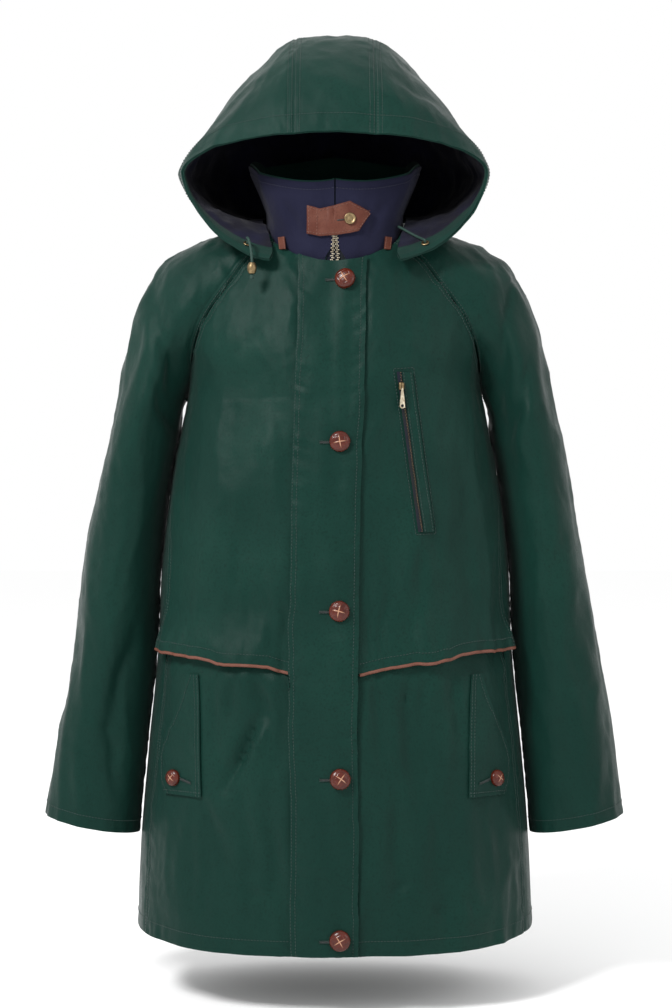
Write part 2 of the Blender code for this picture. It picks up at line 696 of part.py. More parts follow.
CLOTH = ("green_cloth", GREEN)
COLLAR_CLOTH = ("navy_cloth", NAVY)
LINING_CLOTH = ("navy_lining", DARK_NAVY)
TAN_LEATHER = ("tan_leather", LEATHER)
WOVEN_LEATHER = ("brown_leather", BUTTON_BROWN)
METAL = ("antique_brass", BRASS)
TAPE = ("zip_tape", ZIP_TAPE)
CORD_CLOTH = ("green_cord", GREEN)


def folded_panels():
    """The whole fronts, the back and the sleeves, with the large folds in them."""
    front, half_back, arm = whole_front(), whole_back(), sleeve_grid()
    panels = {
        "front_left": front,
        "front_right": mirrored(front),
        "back": np.concatenate([half_back, mirrored(half_back)[:, 1:]], axis=1),
        "sleeve_left": arm,
        "sleeve_right": mirrored(arm),
    }
    joined = joined_normals(panels)
    return {name: folded(grid, joined[name][1]) for name, grid in panels.items()}


def body_and_sleeves(whole):
    """The upper fronts, skirts, back and sleeves; returns each side's upper front and skirt.

    Both sides are returned as left-hand grids, and what lies on the right is mirrored after.
    """
    panels = {name: whole[name] for name in ("back", "sleeve_left", "sleeve_right")}
    sides = {}
    for side, front in (("left", whole["front_left"]), ("right", mirrored(whole["front_right"]))):
        sides[side] = upper_part(front), skirt_part(front)
        upper, skirt = (trimmed(grid, CENTRE_EDGE_X) for grid in sides[side])
        turn = mirrored if side == "right" else np.copy
        panels[f"front_{side}"], panels[f"skirt_{side}"] = turn(upper), turn(skirt)
    joined = joined_normals(panels)
    edges = {"front": "tbse", "skirt": "se", "back": "tse", "sleeve": "tse"}
    for name, grid in panels.items():
        closed_from = CAP_ROWS - 1 if name.startswith("sleeve") else None
        wall(name, grid, WALL, CLOTH, joined[name], edges[name.split("_")[0]], closed_from)
    return sides


def neckline():
    """The half neckline's points from the centre front to the centre back."""
    front = yoke_row(0.0, BODY_COLUMNS, -1)
    cut = math.radians(float(SLEEVE["cut_deg"][0]))
    side = sleeve_ring(0.0, np.linspace(-cut, cut, SLEEVE_COLUMNS))
    back = yoke_row(0.0, BODY_COLUMNS, 1)[::-1]
    return np.concatenate([front, side[1:], back[1:]])


def neck_at(share):
    """Points of the half neckline at shares of its length."""
    line = neckline()
    along = np.concatenate([[0], np.cumsum(np.linalg.norm(np.diff(line, axis=0), axis=1))])
    return np.stack([np.interp(share * along[-1], along, line[:, k]) for k in range(3)], axis=-1)


def hoop(station):
    """One half hoop of the hood, from the centre panel's seam to the neck."""
    row = {name: float(read(HOOD, name, station)) for name in HOOD}
    top = np.array([row["top_x"], row["top_y"], row["top_z"]])
    side = np.array([row["side_x"], row["side_y"], row["side_z"]])
    neck = neck_at(np.array(row["neck"]))
    out = unit(neck * [1, 1, 0] - [0, COLLAR_MIDDLE_Y, 0])
    neck = neck + out * HOOD_OUT + [0, 0, HOOD_UP]
    free = (1 - min(station / HOOD_FREE, 1)) ** 2
    neck = neck * (1 - free) + np.array(HOOD_FRONT_END) * free
    points = []
    for angle in np.linspace(0, math.pi / 2, HOOD_OVER_POINTS):
        sine, cosine = math.sin(angle) ** (2 / row["over"]), math.cos(angle) ** (2 / row["over"])
        x = top[0] + (side[0] - top[0]) * sine
        z = side[2] + (top[2] - side[2]) * cosine
        y = top[1] + (side[1] - top[1]) * sine**1.6
        points.append((x, y, z))
    for angle in np.linspace(0, math.pi / 2, HOOD_UNDER_POINTS + 1)[1:]:
        sine, cosine = math.sin(angle) ** (2 / row["under"]), math.cos(angle) ** (2 / row["under"])
        x = neck[0] + (side[0] - neck[0]) * cosine
        z = side[2] + (neck[2] - side[2]) * sine
        y = side[1] + (neck[1] - side[1]) * (1 - cosine) ** 1.2
        points.append((x, y, z))
    return np.array(points)


def hood_side():
    """The left side panel: its short straight end at the back, then a row for each hoop."""
    rows = [hoop(station) for station in HOOD_STATIONS]
    rows[0] = np.linspace(rows[0][0], rows[0][-1], len(rows[0]))
    return np.array(rows)


def hood_centre(side):
    """The centre panel between the side panels' top edges."""
    across = np.linspace(-1, 1, CENTRE_COLUMNS + 1)
    edge = side[:, 0]
    grid = np.repeat(edge[:, None], len(across), axis=1)
    grid[..., 0] = edge[:, None, 0] * across
    crown = 1 - across**2
    grid += grid_normals(grid) * (CENTRE_CROWN * crown)[None, :, None]
    grid[:, 0] = edge * [-1, 1, 1]
    grid[:, -1] = edge
    return grid


def hood_whole(side):
    """All hoops across, from the right neck over the top to the left neck."""
    centre = hood_centre(side)
    return np.concatenate([mirrored(side), centre[:, 1:-1], side], axis=1)


def hood():
    side = hood_side()
    centre = hood_centre(side)
    panels = {"hood_left": side, "hood_right": mirrored(side), "hood_centre": centre}
    edges = {"hood_left": "s", "hood_right": "e", "hood_centre": "se"}
    joined = joined_normals(panels)
    for name, grid in panels.items():
        wall(name, grid, WALL, CLOTH, joined[name], edges[name])
    whole = hood_whole(side)
    facing, lining = hood_inside(whole)
    wall("hood_facing", facing, FACING_WALL, CLOTH)
    wall("hood_lining", lining, FACING_WALL, LINING_CLOTH)
    return facing, lining


def down_columns(grid, start, end, count):
    """Each column's points again, between two distances from its last point."""
    out = np.zeros((count, grid.shape[1], 3))
    for j in range(grid.shape[1]):
        line = grid[::-1, j]
        along = np.concatenate([[0], np.cumsum(np.linalg.norm(np.diff(line, axis=0), axis=1))])
        at = np.linspace(start, along[-1] if end is None else end, count)
        out[:, j] = np.stack([np.interp(at, along, line[:, k]) for k in range(3)], axis=-1)
    return out[::-1]


def hood_inside(whole):
    """The facing band round the opening, and the lining behind it, inside the shell."""
    inset = whole - grid_normals(whole) * LINING_INSET
    facing = down_columns(inset, 0.0, FACING_WIDTH, 3)
    lining = down_columns(inset, FACING_WIDTH + 1.5 * GAP, None, LINING_ROWS)
    return facing, lining[LINING_SKIP:]


def collar_grid():
    """The collar from its left end round the back to its right end, top row first."""
    share = np.linspace(0, 1, COLLAR_COLUMNS)
    base = neck_at(share)
    rows = []
    for rise in np.linspace(0, 1, COLLAR_ROWS):
        wide, front, back = (float(read(COLLAR, n, rise)) for n in ("wide", "front", "back"))
        deep = np.where(base[:, 1] < COLLAR_MIDDLE_Y, front, back)
        x = base[:, 0] * wide
        y = COLLAR_MIDDLE_Y + (base[:, 1] - COLLAR_MIDDLE_Y) * deep
        tall = COLLAR_HEIGHT - COLLAR_SIDE_DROP * np.sin(np.pi * share)
        z = base[:, 2] - COLLAR_TUCK + (tall + COLLAR_TUCK) * rise
        part = COLLAR_PART_X * (1 - ease(rise / COLLAR_PART_RISE)) + 0.0008
        x[0] = part
        x[1] = max(x[1], part + 0.006)
        rows.append(np.stack([x, y, z], axis=-1))
    half = np.array(rows)[::-1]
    return np.concatenate([half, mirrored(half)[:, 1:]], axis=1)


def collar():
    outer = collar_grid()
    inner = outer - grid_normals(outer) * (COLLAR_WALL + GAP)
    inner[0, :, 2] += COLLAR_EDGE
    wall("collar_outer", outer, COLLAR_WALL, COLLAR_CLOTH)
    wall("collar_inner", inner, FACING_WALL, CLOTH)
    return outer


# --- what lies on the panels ---------------------------------------------------------------


def tree(*grids):
    """A surface to place things on, from grids of points."""
    points, faces = [], []
    for grid in grids:
        rows, columns = grid.shape[:2]
        first = len(points)
        points += [Vector(p) for p in grid.reshape(-1, 3)]
        for i in range(rows - 1):
            for j in range(columns - 1):
                a = first + i * columns + j
                faces.append((a, a + 1, a + columns + 1, a + columns))
    return BVHTree.FromPolygons(points, faces)


def front_at(surface, x, z, start_y=-0.5):
    """The surface's point behind (x, z) as seen from the front, and its outward normal."""
    place, normal, _, _ = surface.ray_cast(Vector((x, start_y, z)), Vector((0, 1, 0)))
    if place is None:
        place, normal, _, _ = surface.find_nearest(Vector((x, -0.1, z)))
    normal = np.array(normal)
    return np.array(place), normal if normal[1] < 0 else -normal


def laid(surface, xs, zs, lift):
    """A grid laid on a surface seen from the front; xs, zs and lift share its shape."""
    xs, zs, lift = np.broadcast_arrays(xs, zs, lift)
    grid = np.zeros(xs.shape + (3,))
    for index in np.ndindex(xs.shape):
        place, normal = front_at(surface, float(xs[index]), float(zs[index]))
        grid[index] = place + normal * float(lift[index])
    return grid


def neckline_z(x):
    return NECK_FRONT_Z + (SLEEVE["seam_z"][0] - NECK_FRONT_Z) * (x / SLEEVE["seam_x"][0]) ** 2


def over_flap(z):
    """1 where something passes over the flaps' edges, 0 well above and below."""
    return ease((FLAP_FRONT_Z + 0.085 - z) / 0.075) * ease((z - FLAP_FRONT_Z + 0.120) / 0.100)


def storm_fly(front):
    f = np.linspace(0, 1, FLY_ROWS)[:, None]
    across = np.linspace(0, 1, 5)[None, :]
    level = 0.040 + 0.766 * f
    left = read(FLY, "sewn_x", level)
    right = read(FLY, "free_x", level)
    xs = left + (right - left) * across
    top = neckline_z(np.abs(xs[:1])) - 0.0015
    zs = top + (HEM_Z + GAP - top) * f
    chest = ease(1 + (zs - FLY_CHEST_Z) / FLY_CHEST_EASE)
    lift = LAID + WALL + FLY_OVER_FLAP * over_flap(zs) + FLY_OVER_CHEST * chest
    grid = laid(front, xs, zs, lift)
    wall("storm_fly", grid, WALL, CLOTH)
    return tree(grid)


def dome(name, place, normal, radius, height, look, sides=BUTTON_SIDES):
    """A button with a round crown and a flat back, just off what it is sewn to."""
    profile = [(radius * 0.45, 0), (radius * 0.93, height * 0.22), (radius, height * 0.42)]
    for angle in (35, 62):
        turn = math.radians(angle)
        profile.append((radius * math.cos(turn), height * (0.42 + 0.58 * math.sin(turn))))
    profile.append((0, height))
    turned(name, profile, place + normal * GAP, normal, look, sides)


def buttons(fly):
    for number, (x, z) in enumerate(BUTTONS, 1):
        place, normal = front_at(fly, x, z)
        dome(f"button_{number}", place, normal, BUTTON_RADIUS, BUTTON_HEIGHT, WOVEN_LEATHER)


def front_zip(front):
    """The tape behind the fronts' edges and the chain between them."""
    xs = np.array([-ZIP_TAPE_X, -ZIP_CHAIN_X - 0.0008, -ZIP_CHAIN_X])
    xs = np.concatenate([xs, -xs[::-1]])[None, :]
    raised = np.array([0, 0, 1, 1, 0, 0])[None, :] * (ZIP_DEEP - GAP)
    zs = np.linspace(ZIP_TOP_Z, ZIP_LOW_Z, ZIP_ROWS)[:, None]
    dip = ZIP_DIP * ease((zs - FLAP_FRONT_Z + 0.055) / 0.030) * ease(
        (FLAP_FRONT_Z + 0.070 - zs) / 0.030
    )
    wall("front_zip", laid(front, xs, zs, raised - ZIP_DEEP - 0.0004 - dip), ZIP_WALL, TAPE)


def pipings(sides):
    """A leather cord under each flap's edge."""
    starts = {"left": FLY["free_x"][-1], "right": -FLY["sewn_x"][-1]}
    for side, (upper, _) in sides.items():
        line = upper[-1] - grid_normals(upper)[-1] * WALL / 2 - [0, 0, PIPING_RADIUS + GAP]
        fine = smooth_line(line, PIPING_POINTS)
        kept = fine[fine[:, 0] > starts[side] + 0.0008]
        tube(f"piping_{side}", kept * SIDE_SIGN[side], PIPING_RADIUS, TAN_LEATHER)


def lower_pockets(sides):
    """The slanted pocket flaps on the skirts, and their buttons."""
    levels = POCKET_LEVELS[:, None]
    inner = read(POCKET, "inner_x", levels)
    xs = inner + (read(POCKET, "outer_x", levels) - inner) * np.linspace(0, 1, 4)[None, :]
    lift = LAID + (LAID_SLANTED - LAID) * ease((levels - levels[1]) / 0.05)
    for side, (_, skirt) in sides.items():
        grid = laid(tree(skirt), xs, -levels, lift + THIN_WALL)
        wall(f"pocket_{side}", grid if side == "left" else mirrored(grid), THIN_WALL, CLOTH)
        place, normal = front_at(tree(grid), *POCKET_BUTTON)
        dome(
            f"pocket_button_{side}", place * SIDE_SIGN[side], normal * SIDE_SIGN[side],
            POCKET_BUTTON_RADIUS, POCKET_BUTTON_HEIGHT, WOVEN_LEATHER, SMALL_SIDES,
        )


def slit_x(z):
    share = (SLIT_TOP[1] - z) / (SLIT_TOP[1] - SLIT_LOW[1])
    return SLIT_TOP[0] + (SLIT_LOW[0] - SLIT_TOP[0]) * share


def chest_pocket(front):
    """The welt, the zip's tape, its slider and the hanging pull tab."""
    zs = np.linspace(SLIT_TOP[1], SLIT_LOW[1], 9)[:, None]
    welt = slit_x(zs) + 0.0006 + WELT_WIDTH * np.linspace(0, 1, 3)[None, :]
    wall("chest_welt", laid(front, welt, zs, LAID + THIN_WALL), THIN_WALL, CLOTH)
    tape = slit_x(zs) - TAPE_WIDTH * np.linspace(1, 0, 3)[None, :]
    wall("chest_zip", laid(front, tape, zs, LAID + FACING_WALL), FACING_WALL, TAPE)
    z = SLIT_TOP[1] + (SLIT_LOW[1] - SLIT_TOP[1]) * SLIDER_DOWN
    place, normal = front_at(front, slit_x(z) - TAPE_WIDTH / 2, z)
    down = unit(np.array([0.0, 0.0, -1.0]) + normal * normal[2])
    across = np.cross(down, normal)
    base = place + normal * (LAID + THIN_WALL + GAP)
    block("chest_slider", base, (across, normal, down), SLIDER, METAL)
    hinge = base + normal * (SLIDER[1] + PULL_CLEAR) + down * SLIDER[2] * 0.15
    pull_tab("chest_pull", hinge, (across, normal, down))


def block(name, base, frame, size, look):
    """A small block with its back at base and a narrower face."""
    across, normal, down = frame
    points = []
    for lift, narrow in ((0, 1.0), (size[1] * 0.6, 1.0), (size[1], 0.6)):
        for u, v in ((-1, -1), (1, -1), (1, 1), (-1, 1)):
            side = across * u * size[0] / 2 * narrow
            points.append(base + side + down * v * size[2] / 2 * narrow + normal * lift)
    faces = [[0, 1, 2, 3], [11, 10, 9, 8]]
    for low in (0, 4):
        for k in range(4):
            n = (k + 1) % 4
            faces.append([low + k, low + 4 + k, low + 4 + n, low + n])
    add_object(name, points, faces, look, smooth=False)


def pull_tab(name, hinge, frame):
    """A flat tab with a hole near its lower end, narrower at the hinge."""
    across, normal, down = frame
    low_radius, top_radius = PULL_WIDTH / 2, PULL_WIDTH * 0.27
    low = PULL_LENGTH - low_radius
    outline = []
    for degrees in np.linspace(-80, 80, 12):
        turn = math.radians(degrees)
        outline.append((low_radius * math.sin(turn), low + low_radius * math.cos(turn)))
    for degrees in np.linspace(100, 260, 8):
        turn = math.radians(degrees)
        outline.append((top_radius * math.sin(turn), PULL_THICK / 2 * math.cos(turn)))
    hole = []
    for u, v in outline:
        away = math.hypot(u, v - low)
        hole.append((PULL_HOLE * u / away, low + PULL_HOLE * (v - low) / away))
    points = []
    for loop in (outline, hole):
        for lift in (PULL_THICK / 2, -PULL_THICK / 2):
            points += [hinge + across * u + down * v + normal * lift for u, v in loop]
    n = len(outline)
    faces = []
    for k in range(n):
        m = (k + 1) % n
        front, back, hole_front, hole_back = (k, m), (n + k, n + m), (2 * n + k, 2 * n + m), (
            3 * n + k, 3 * n + m)
        faces.append([front[0], front[1], hole_front[1], hole_front[0]])
        faces.append([back[1], back[0], hole_back[0], hole_back[1]])
        faces.append([front[1], front[0], back[0], back[1]])
        faces.append([hole_front[0], hole_front[1], hole_back[1], hole_back[0]])
    add_object(name, points, faces, METAL)


def throat_tab(collar_outer):
    """The leather tab across the collar's ends, and its metal button."""
    surface = tree(collar_outer)
    xs = np.linspace(TAB["x"][0], TAB["x"][-1], 12)
    xs = np.sort(np.concatenate([xs[1:-1], TAB["x"]]))[None, :]
    down = np.linspace(0, 1, 4)[:, None]
    high, low = (np.interp(xs, TAB["x"], TAB[name]) for name in ("high", "low"))
    zs = high + (low - high) * down
    cast_x = np.where(xs < 0, np.minimum(xs, -0.003), np.maximum(xs, 0.003))
    grid = laid(surface, cast_x, zs, LAID_ROUND + TAB_WALL)
    grid[..., 0] += xs - cast_x
    wall("throat_tab", grid, TAB_WALL, TAN_LEATHER)
    place, normal = front_at(tree(grid), *TAB_BUTTON)
    r, h = TAB_BUTTON_RADIUS, TAB_BUTTON_HEIGHT
    profile = [(r * 0.5, 0), (r * 0.95, h * 0.3), (r, h * 0.7), (r * 0.8, h), (0, h * 0.8)]
    turned("tab_button", profile, place + normal * GAP, normal, METAL, BUTTON_SIDES)


def neck_tabs(front, collar_outer):
    """Straight tabs from the collar down to the chest, past the neckline's inner corner."""
    xs = np.linspace(*NECK_TAB_X, 3)[None, :]
    zs = np.array(NECK_TAB_Z)[:, None]
    ends = laid(tree(front, collar_outer), xs, zs, 0)
    down = np.linspace(0, 1, 4)[:, None, None]
    grid = ends[:1] + (ends[1:] - ends[:1]) * down
    grid = grid - np.array([0, NECK_TAB_OUT, 0])
    wall("neck_tab_left", grid, FACING_WALL, TAN_LEATHER)
    wall("neck_tab_right", mirrored(grid), FACING_WALL, TAN_LEATHER)


def ring(name, place, axis, outer, hole, height, look, sides=SMALL_SIDES):
    """A flat ring or a bead with a hole through it."""
    profile = [(hole, 0), (outer * 0.85, 0), (outer, height * 0.5), (outer * 0.85, height)]
    turned(name, profile + [(hole, height)], place, axis, look, sides, hollow=True)


def smooth_line(points, count):
    """A smooth curve through a few points, at equal steps of its length."""
    points = np.asarray(points, float)
    stations = np.arange(len(points), dtype=float)
    at = np.linspace(0, len(points) - 1, 200)
    fine = np.stack(
        [read({"at": stations, "v": points[:, k]}, "v", at) for k in range(3)], axis=-1
    )
    along = np.concatenate([[0], np.cumsum(np.linalg.norm(np.diff(fine, axis=0), axis=1))])
    even = np.linspace(0, along[-1], count)
    return np.stack([np.interp(even, along, fine[:, k]) for k in range(3)], axis=-1)


def eyelet(side, place, facing):
    """A ring on the facing; returns the first points of its cord."""
    seat, normal = front_at(tree(facing), *place)
    seat = seat + normal * (FACING_WALL + LAID)
    ring(f"eyelet_{side}", seat, normal, EYELET_RADIUS, EYELET_HOLE, EYELET_HEIGHT, METAL)
    return np.array([seat + normal * out for out in CORD_LEAVES])


def beaded_cord(start):
    """The right drawcord end, over the hood's edge and down through a bead to its knot."""
    line = np.concatenate([start, HANGING_CORD])
    tube("hood_cord_right", smooth_line(line, HANGING_CORD_POINTS), CORD_RADIUS, CORD_CLOTH)
    end, down = line[-1], np.array([0.0, 0.0, -1.0])
    top = end - down * (BEAD_LENGTH + BEAD_ABOVE_END)
    ring("cord_bead", top, down, BEAD_RADIUS, BEAD_HOLE, BEAD_LENGTH, METAL)
    r, h = KNOT_RADIUS, KNOT_LENGTH
    profile = [(CORD_RADIUS, 0), (r, h * 0.4), (r * 0.8, h * 0.8), (0, h)]
    turned("cord_knot", profile, end + down * GAP, down, CORD_CLOTH, SMALL_SIDES)


def crossing_cord(start, below):
    """The left drawcord end, across the hood's inside corner to the collar."""
    line = list(start)
    first = start[-1][[0, 2]]
    for share in np.linspace(0, 1, 5)[1:]:
        x, z = first + (CROSSING_CORD_END - first) * share
        line.append(front_at(below, x, z)[0] - [0, CROSSING_CORD_OUT, 0])
    tube("hood_cord_left", smooth_line(line, CROSSING_CORD_POINTS), CORD_RADIUS, CORD_CLOTH)


def hood_hardware(facing, lining, collar_outer):
    """The eyelets in the facing and the drawcord's two ends."""
    beaded_cord(eyelet("right", EYELET_RIGHT, facing))
    start = eyelet("left", EYELET_LEFT, facing)
    crossing_cord(start, tree(facing, lining, collar_outer))


def main():
    for old in list(bpy.data.objects):
        bpy.data.objects.remove(old, do_unlink=True)
    whole = folded_panels()
    sides = body_and_sleeves(whole)
    front = tree(whole["front_left"], whole["front_right"])
    facing, lining = hood()
    collar_outer = collar()
    fly = storm_fly(front)
    buttons(fly)
    front_zip(front)
    pipings(sides)
    lower_pockets(sides)
    chest_pocket(tree(sides["left"][0]))
    throat_tab(collar_outer)
    neck_tabs(whole["front_left"], collar_outer)
    hood_hardware(facing, lining, collar_outer)


main()
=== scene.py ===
"""The look of a hooded, thigh-length parka, filled out with no wearer in it.

Every panel is worked out again from the sizes of its solid, on a finer grid, and gets its
creases, seams, stitches and materials here. Metres, +Z up, the front faces -Y.
"""

import math

import bpy
import numpy as np
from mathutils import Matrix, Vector, noise
from mathutils.bvhtree import BVHTree


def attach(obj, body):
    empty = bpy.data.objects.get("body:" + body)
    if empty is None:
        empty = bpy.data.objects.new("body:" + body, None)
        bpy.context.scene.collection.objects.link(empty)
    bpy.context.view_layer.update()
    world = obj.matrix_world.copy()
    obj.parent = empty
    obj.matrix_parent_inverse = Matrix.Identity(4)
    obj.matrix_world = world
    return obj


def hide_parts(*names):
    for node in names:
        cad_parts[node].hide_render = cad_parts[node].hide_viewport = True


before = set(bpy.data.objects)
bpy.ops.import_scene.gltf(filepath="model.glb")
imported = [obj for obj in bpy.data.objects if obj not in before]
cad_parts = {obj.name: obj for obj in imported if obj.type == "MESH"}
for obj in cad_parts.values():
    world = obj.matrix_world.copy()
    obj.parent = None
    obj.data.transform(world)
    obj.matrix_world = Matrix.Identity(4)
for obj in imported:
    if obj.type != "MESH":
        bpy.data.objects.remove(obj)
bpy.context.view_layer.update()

# Sizes of the solids, as in the part's own source
WALL = 0.0018
THIN_WALL = 0.0014
FACING_WALL = 0.0010
GAP = 0.0004
UNDERARM_Z = -0.190
HEM_Z = -0.806
HEM_SIDE_RISE = 0.010
ROUND = 2.35
SIDE_Y = 0.012
SIDE_TURN = 69
NECK_FRONT_Z = -0.036
NECK_BACK_Z = 0.018
NECK_FRONT_Y = 0.100
NECK_BACK_Y = 0.085
CENTRE_EDGE_X = 0.004
FLAP_FRONT_Z = -0.494
FLAP_SIDE_Z = -0.474
FLAP_PROUD = 0.0085
FLAP_PROUD_AT_FLY = 0.0030
FLAP_LENGTH = 0.075
PIPING_RADIUS = 0.0019
FLY_OVER_FLAP = 0.0032


def table(names, *rows):
    """A small table by column name; the first column is the station and rises."""
    return dict(zip(names.split(), np.array(rows, float).T))


TORSO = table(
    "down half_width front back",  # down: distance below the origin
    (0.190, 0.1740, 0.128, 0.122),
    (0.246, 0.1850, 0.134, 0.126),
    (0.375, 0.2025, 0.139, 0.129),
    (0.480, 0.2070, 0.142, 0.132),
    (0.580, 0.2165, 0.145, 0.136),
    (0.690, 0.2260, 0.149, 0.141),
    (0.806, 0.2310, 0.153, 0.145),
)

# The raglan sleeve's rings. top and seam are the outermost and innermost points as seen from
# the front. Above the underarm a ring is an arc that ends at the raglan seams, cut_deg away
# from its top on both sides; from station 1 down it is a whole tube.
SLEEVE = table(
    "station top_x top_z seam_x seam_z cut_deg centre_y half_depth back_rise",
    (0.00, 0.0820, 0.0120, 0.0700, -0.0100, 75, 0.000, 0.0704, 0.027),
    (0.22, 0.1300, 0.0040, 0.0980, -0.0300, 82, 0.003, 0.0780, 0.022),
    (0.42, 0.1710, -0.0100, 0.1220, -0.0620, 92, 0.005, 0.0835, 0.016),
    (0.60, 0.2060, -0.0340, 0.1430, -0.0900, 104, 0.008, 0.0860, 0.010),
    (0.80, 0.2340, -0.0900, 0.1610, -0.1290, 128, 0.010, 0.0865, 0.004),
    (1.00, 0.2535, -0.1780, 0.1740, -0.1900, 180, 0.012, 0.0850, 0.000),
    (1.10, 0.2595, -0.2060, 0.1825, -0.2180, 180, 0.013, 0.0845, 0.000),
    (1.25, 0.2690, -0.2480, 0.1905, -0.2600, 180, 0.014, 0.0830, 0.000),
    (1.80, 0.2915, -0.3740, 0.2055, -0.3880, 180, 0.012, 0.0780, 0.000),
    (2.20, 0.3060, -0.4700, 0.2115, -0.4860, 180, 0.006, 0.0710, 0.000),
    (2.60, 0.3230, -0.5660, 0.2215, -0.5840, 180, -0.002, 0.0630, 0.000),
    (3.00, 0.3355, -0.6680, 0.2295, -0.6890, 180, -0.010, 0.0570, 0.000),
)

# The hood's hoops, from the opening's edge (0) back to the centre back (1). Each hoop runs
# from the centre panel's seam (top) out to its widest point (side) and in to the neck, whose
# place is a share of the half neckline. over and under are the exponents of its two curves.
HOOD = table(
    "station top_x top_y top_z side_x side_y side_z neck over under",
    (0.00, 0.0455, -0.1500, 0.0985, 0.1730, -0.0860, 0.0640, 0.20, 2.20, 1.60),
    (0.10, 0.0455, -0.1280, 0.1520, 0.1775, -0.0600, 0.0680, 0.31, 1.50, 1.60),
    (0.26, 0.0455, -0.0750, 0.2070, 0.1780, -0.0200, 0.0720, 0.43, 1.25, 1.70),
    (0.44, 0.0455, 0.0080, 0.2350, 0.1720, 0.0300, 0.0780, 0.56, 1.30, 1.80),
    (0.62, 0.0455, 0.0900, 0.2120, 0.1520, 0.0850, 0.0800, 0.68, 1.50, 2.00),
    (0.78, 0.0455, 0.1400, 0.1550, 0.1220, 0.1200, 0.0680, 0.77, 1.80, 2.00),
    (0.90, 0.0440, 0.1470, 0.0900, 0.0900, 0.1260, 0.0520, 0.82, 2.00, 1.80),
    (0.955, 0.0405, 0.1320, 0.0510, 0.0660, 0.1200, 0.0340, 0.85, 2.00, 1.60),
    (1.00, 0.0330, 0.1010, 0.0150, 0.0350, 0.1000, 0.0140, 0.88, 2.00, 1.60),
)
HOOD_FRONT_END = (0.0734, -0.1080, -0.0366)  # the opening edge's lower end, on the chest

HOOD_FREE = 0.16  # the hood's lower edge is free of the neckline up to this station
HOOD_OUT = 0.0022  # its base stands this far outside the neckline
HOOD_UP = 0.0008
FACING_WIDTH = 0.022

LINING_INSET = 0.0040  # from the shell's outside to the lining's

# The funnel collar, from its base (0) to its top (1)
COLLAR = table(
    "rise wide front back",  # how much wider and deeper than the neckline it is
    (0.00, 0.965, 0.960, 0.960),
    (0.25, 0.975, 0.965, 0.965),
    (0.50, 1.060, 0.975, 1.000),
    (0.75, 1.160, 0.965, 1.050),
    (1.00, 1.235, 0.940, 1.090),
)
COLLAR_HEIGHT = 0.092
COLLAR_SIDE_DROP = 0.020  # it is this much lower at the sides than at the front and back
COLLAR_TUCK = 0.003  # it starts this far below the neckline
COLLAR_PART_X = 0.0125  # half the gap between its ends at the base
COLLAR_PART_RISE = 0.30  # and the share of its height where they meet
COLLAR_WALL = 0.0014
COLLAR_MIDDLE_Y = -0.008
COLLAR_EDGE = 0.0020  # the green inner collar shows this much above the navy one


# Throat tab: its upper and lower edge from its sewn end to its point
TAB = table(
    "x high low",
    (-0.0305, 0.0270, -0.0045),
    (-0.0170, 0.0228, -0.0078),
    (0.0000, 0.0266, -0.0070),
    (0.0169, 0.0314, -0.0045),
    (0.0262, 0.0258, -0.0020),
    (0.0378, 0.0195, 0.0165),
)
TAB_WALL = 0.0022
TAB_BUTTON = (0.0169, 0.0113)
TAB_BUTTON_RADIUS = 0.0066
TAB_BUTTON_HEIGHT = 0.0026

# Leather neck tabs at the hood's ends
NECK_TAB_X = (0.0575, 0.0650)
NECK_TAB_Z = (-0.0060, -0.0300)
NECK_TAB_OUT = 0.0026

# Lower pockets: the flap's outer and inner edge down the skirt
POCKET = table(
    "down outer_x inner_x",
    (0.500, 0.1640, 0.1520),
    (0.540, 0.1770, 0.1500),
    (0.597, 0.1965, 0.1490),
    (0.618, 0.1965, 0.1485),
    (0.636, 0.1900, 0.1480),
)
POCKET_BUTTON = (0.1815, -0.6170)
POCKET_BUTTON_RADIUS = 0.0092
POCKET_BUTTON_HEIGHT = 0.0065

# Chest pocket on the left front: the slit's ends (x, z), the welt and the zip
SLIT_TOP = (0.0733, -0.1620)
SLIT_LOW = (0.0972, -0.3400)
WELT_WIDTH = 0.0115
TAPE_WIDTH = 0.0050
SLIDER_DOWN = 0.090  # the share of the slit above the slider
SLIDER = (0.0064, 0.0034, 0.0095)  # width, depth, height
PULL_LENGTH = 0.0235
PULL_WIDTH = 0.0062
PULL_THICK = 0.0012
PULL_HOLE = 0.0017  # radius
PULL_CLEAR = 0.0012  # from the slider's face to the tab's hinge line


# Hood hardware: eyelets (x, z), ring size, and the drawcord ends
EYELET_RIGHT = (-0.0992, -0.0180)
EYELET_LEFT = (0.1003, -0.0113)
EYELET_RADIUS = 0.0046
EYELET_HOLE = 0.0019
EYELET_HEIGHT = 0.0012
CORD_RADIUS = 0.0015
HANGING_CORD = (  # from the right eyelet over the hood's edge and down through the bead
    (-0.0985, -0.1010, -0.0105),
    (-0.0965, -0.1090, -0.0130),
    (-0.0945, -0.1135, -0.0205),
    (-0.0930, -0.1150, -0.0300),
    (-0.0925, -0.1150, -0.0400),
    (-0.0925, -0.1150, -0.0530),
)
CORD_LEAVES = (0.0001, 0.0020, 0.0040)  # heights above the eyelet's seat of a cord's start
CROSSING_CORD_END = np.array([0.0722, 0.0074])  # x, z beside the collar
CROSSING_CORD_OUT = 0.0060  # in front of what it crosses
KNOT_RADIUS = 0.0026
KNOT_LENGTH = 0.0050
BEAD_ABOVE_END = 0.0006
BEAD_RADIUS = 0.0052
BEAD_LENGTH = 0.0125
BEAD_HOLE = 0.0020


# The storm fly's sewn edge (on the right front) and its free edge
FLY = table(
    "down sewn_x free_x",
    (0.030, -0.0410, 0.0352),
    (0.120, -0.0425, 0.0345),
    (0.200, -0.0450, 0.0320),
    (0.270, -0.0470, 0.0290),
    (0.360, -0.0490, 0.0262),
    (0.810, -0.0490, 0.0262),
)

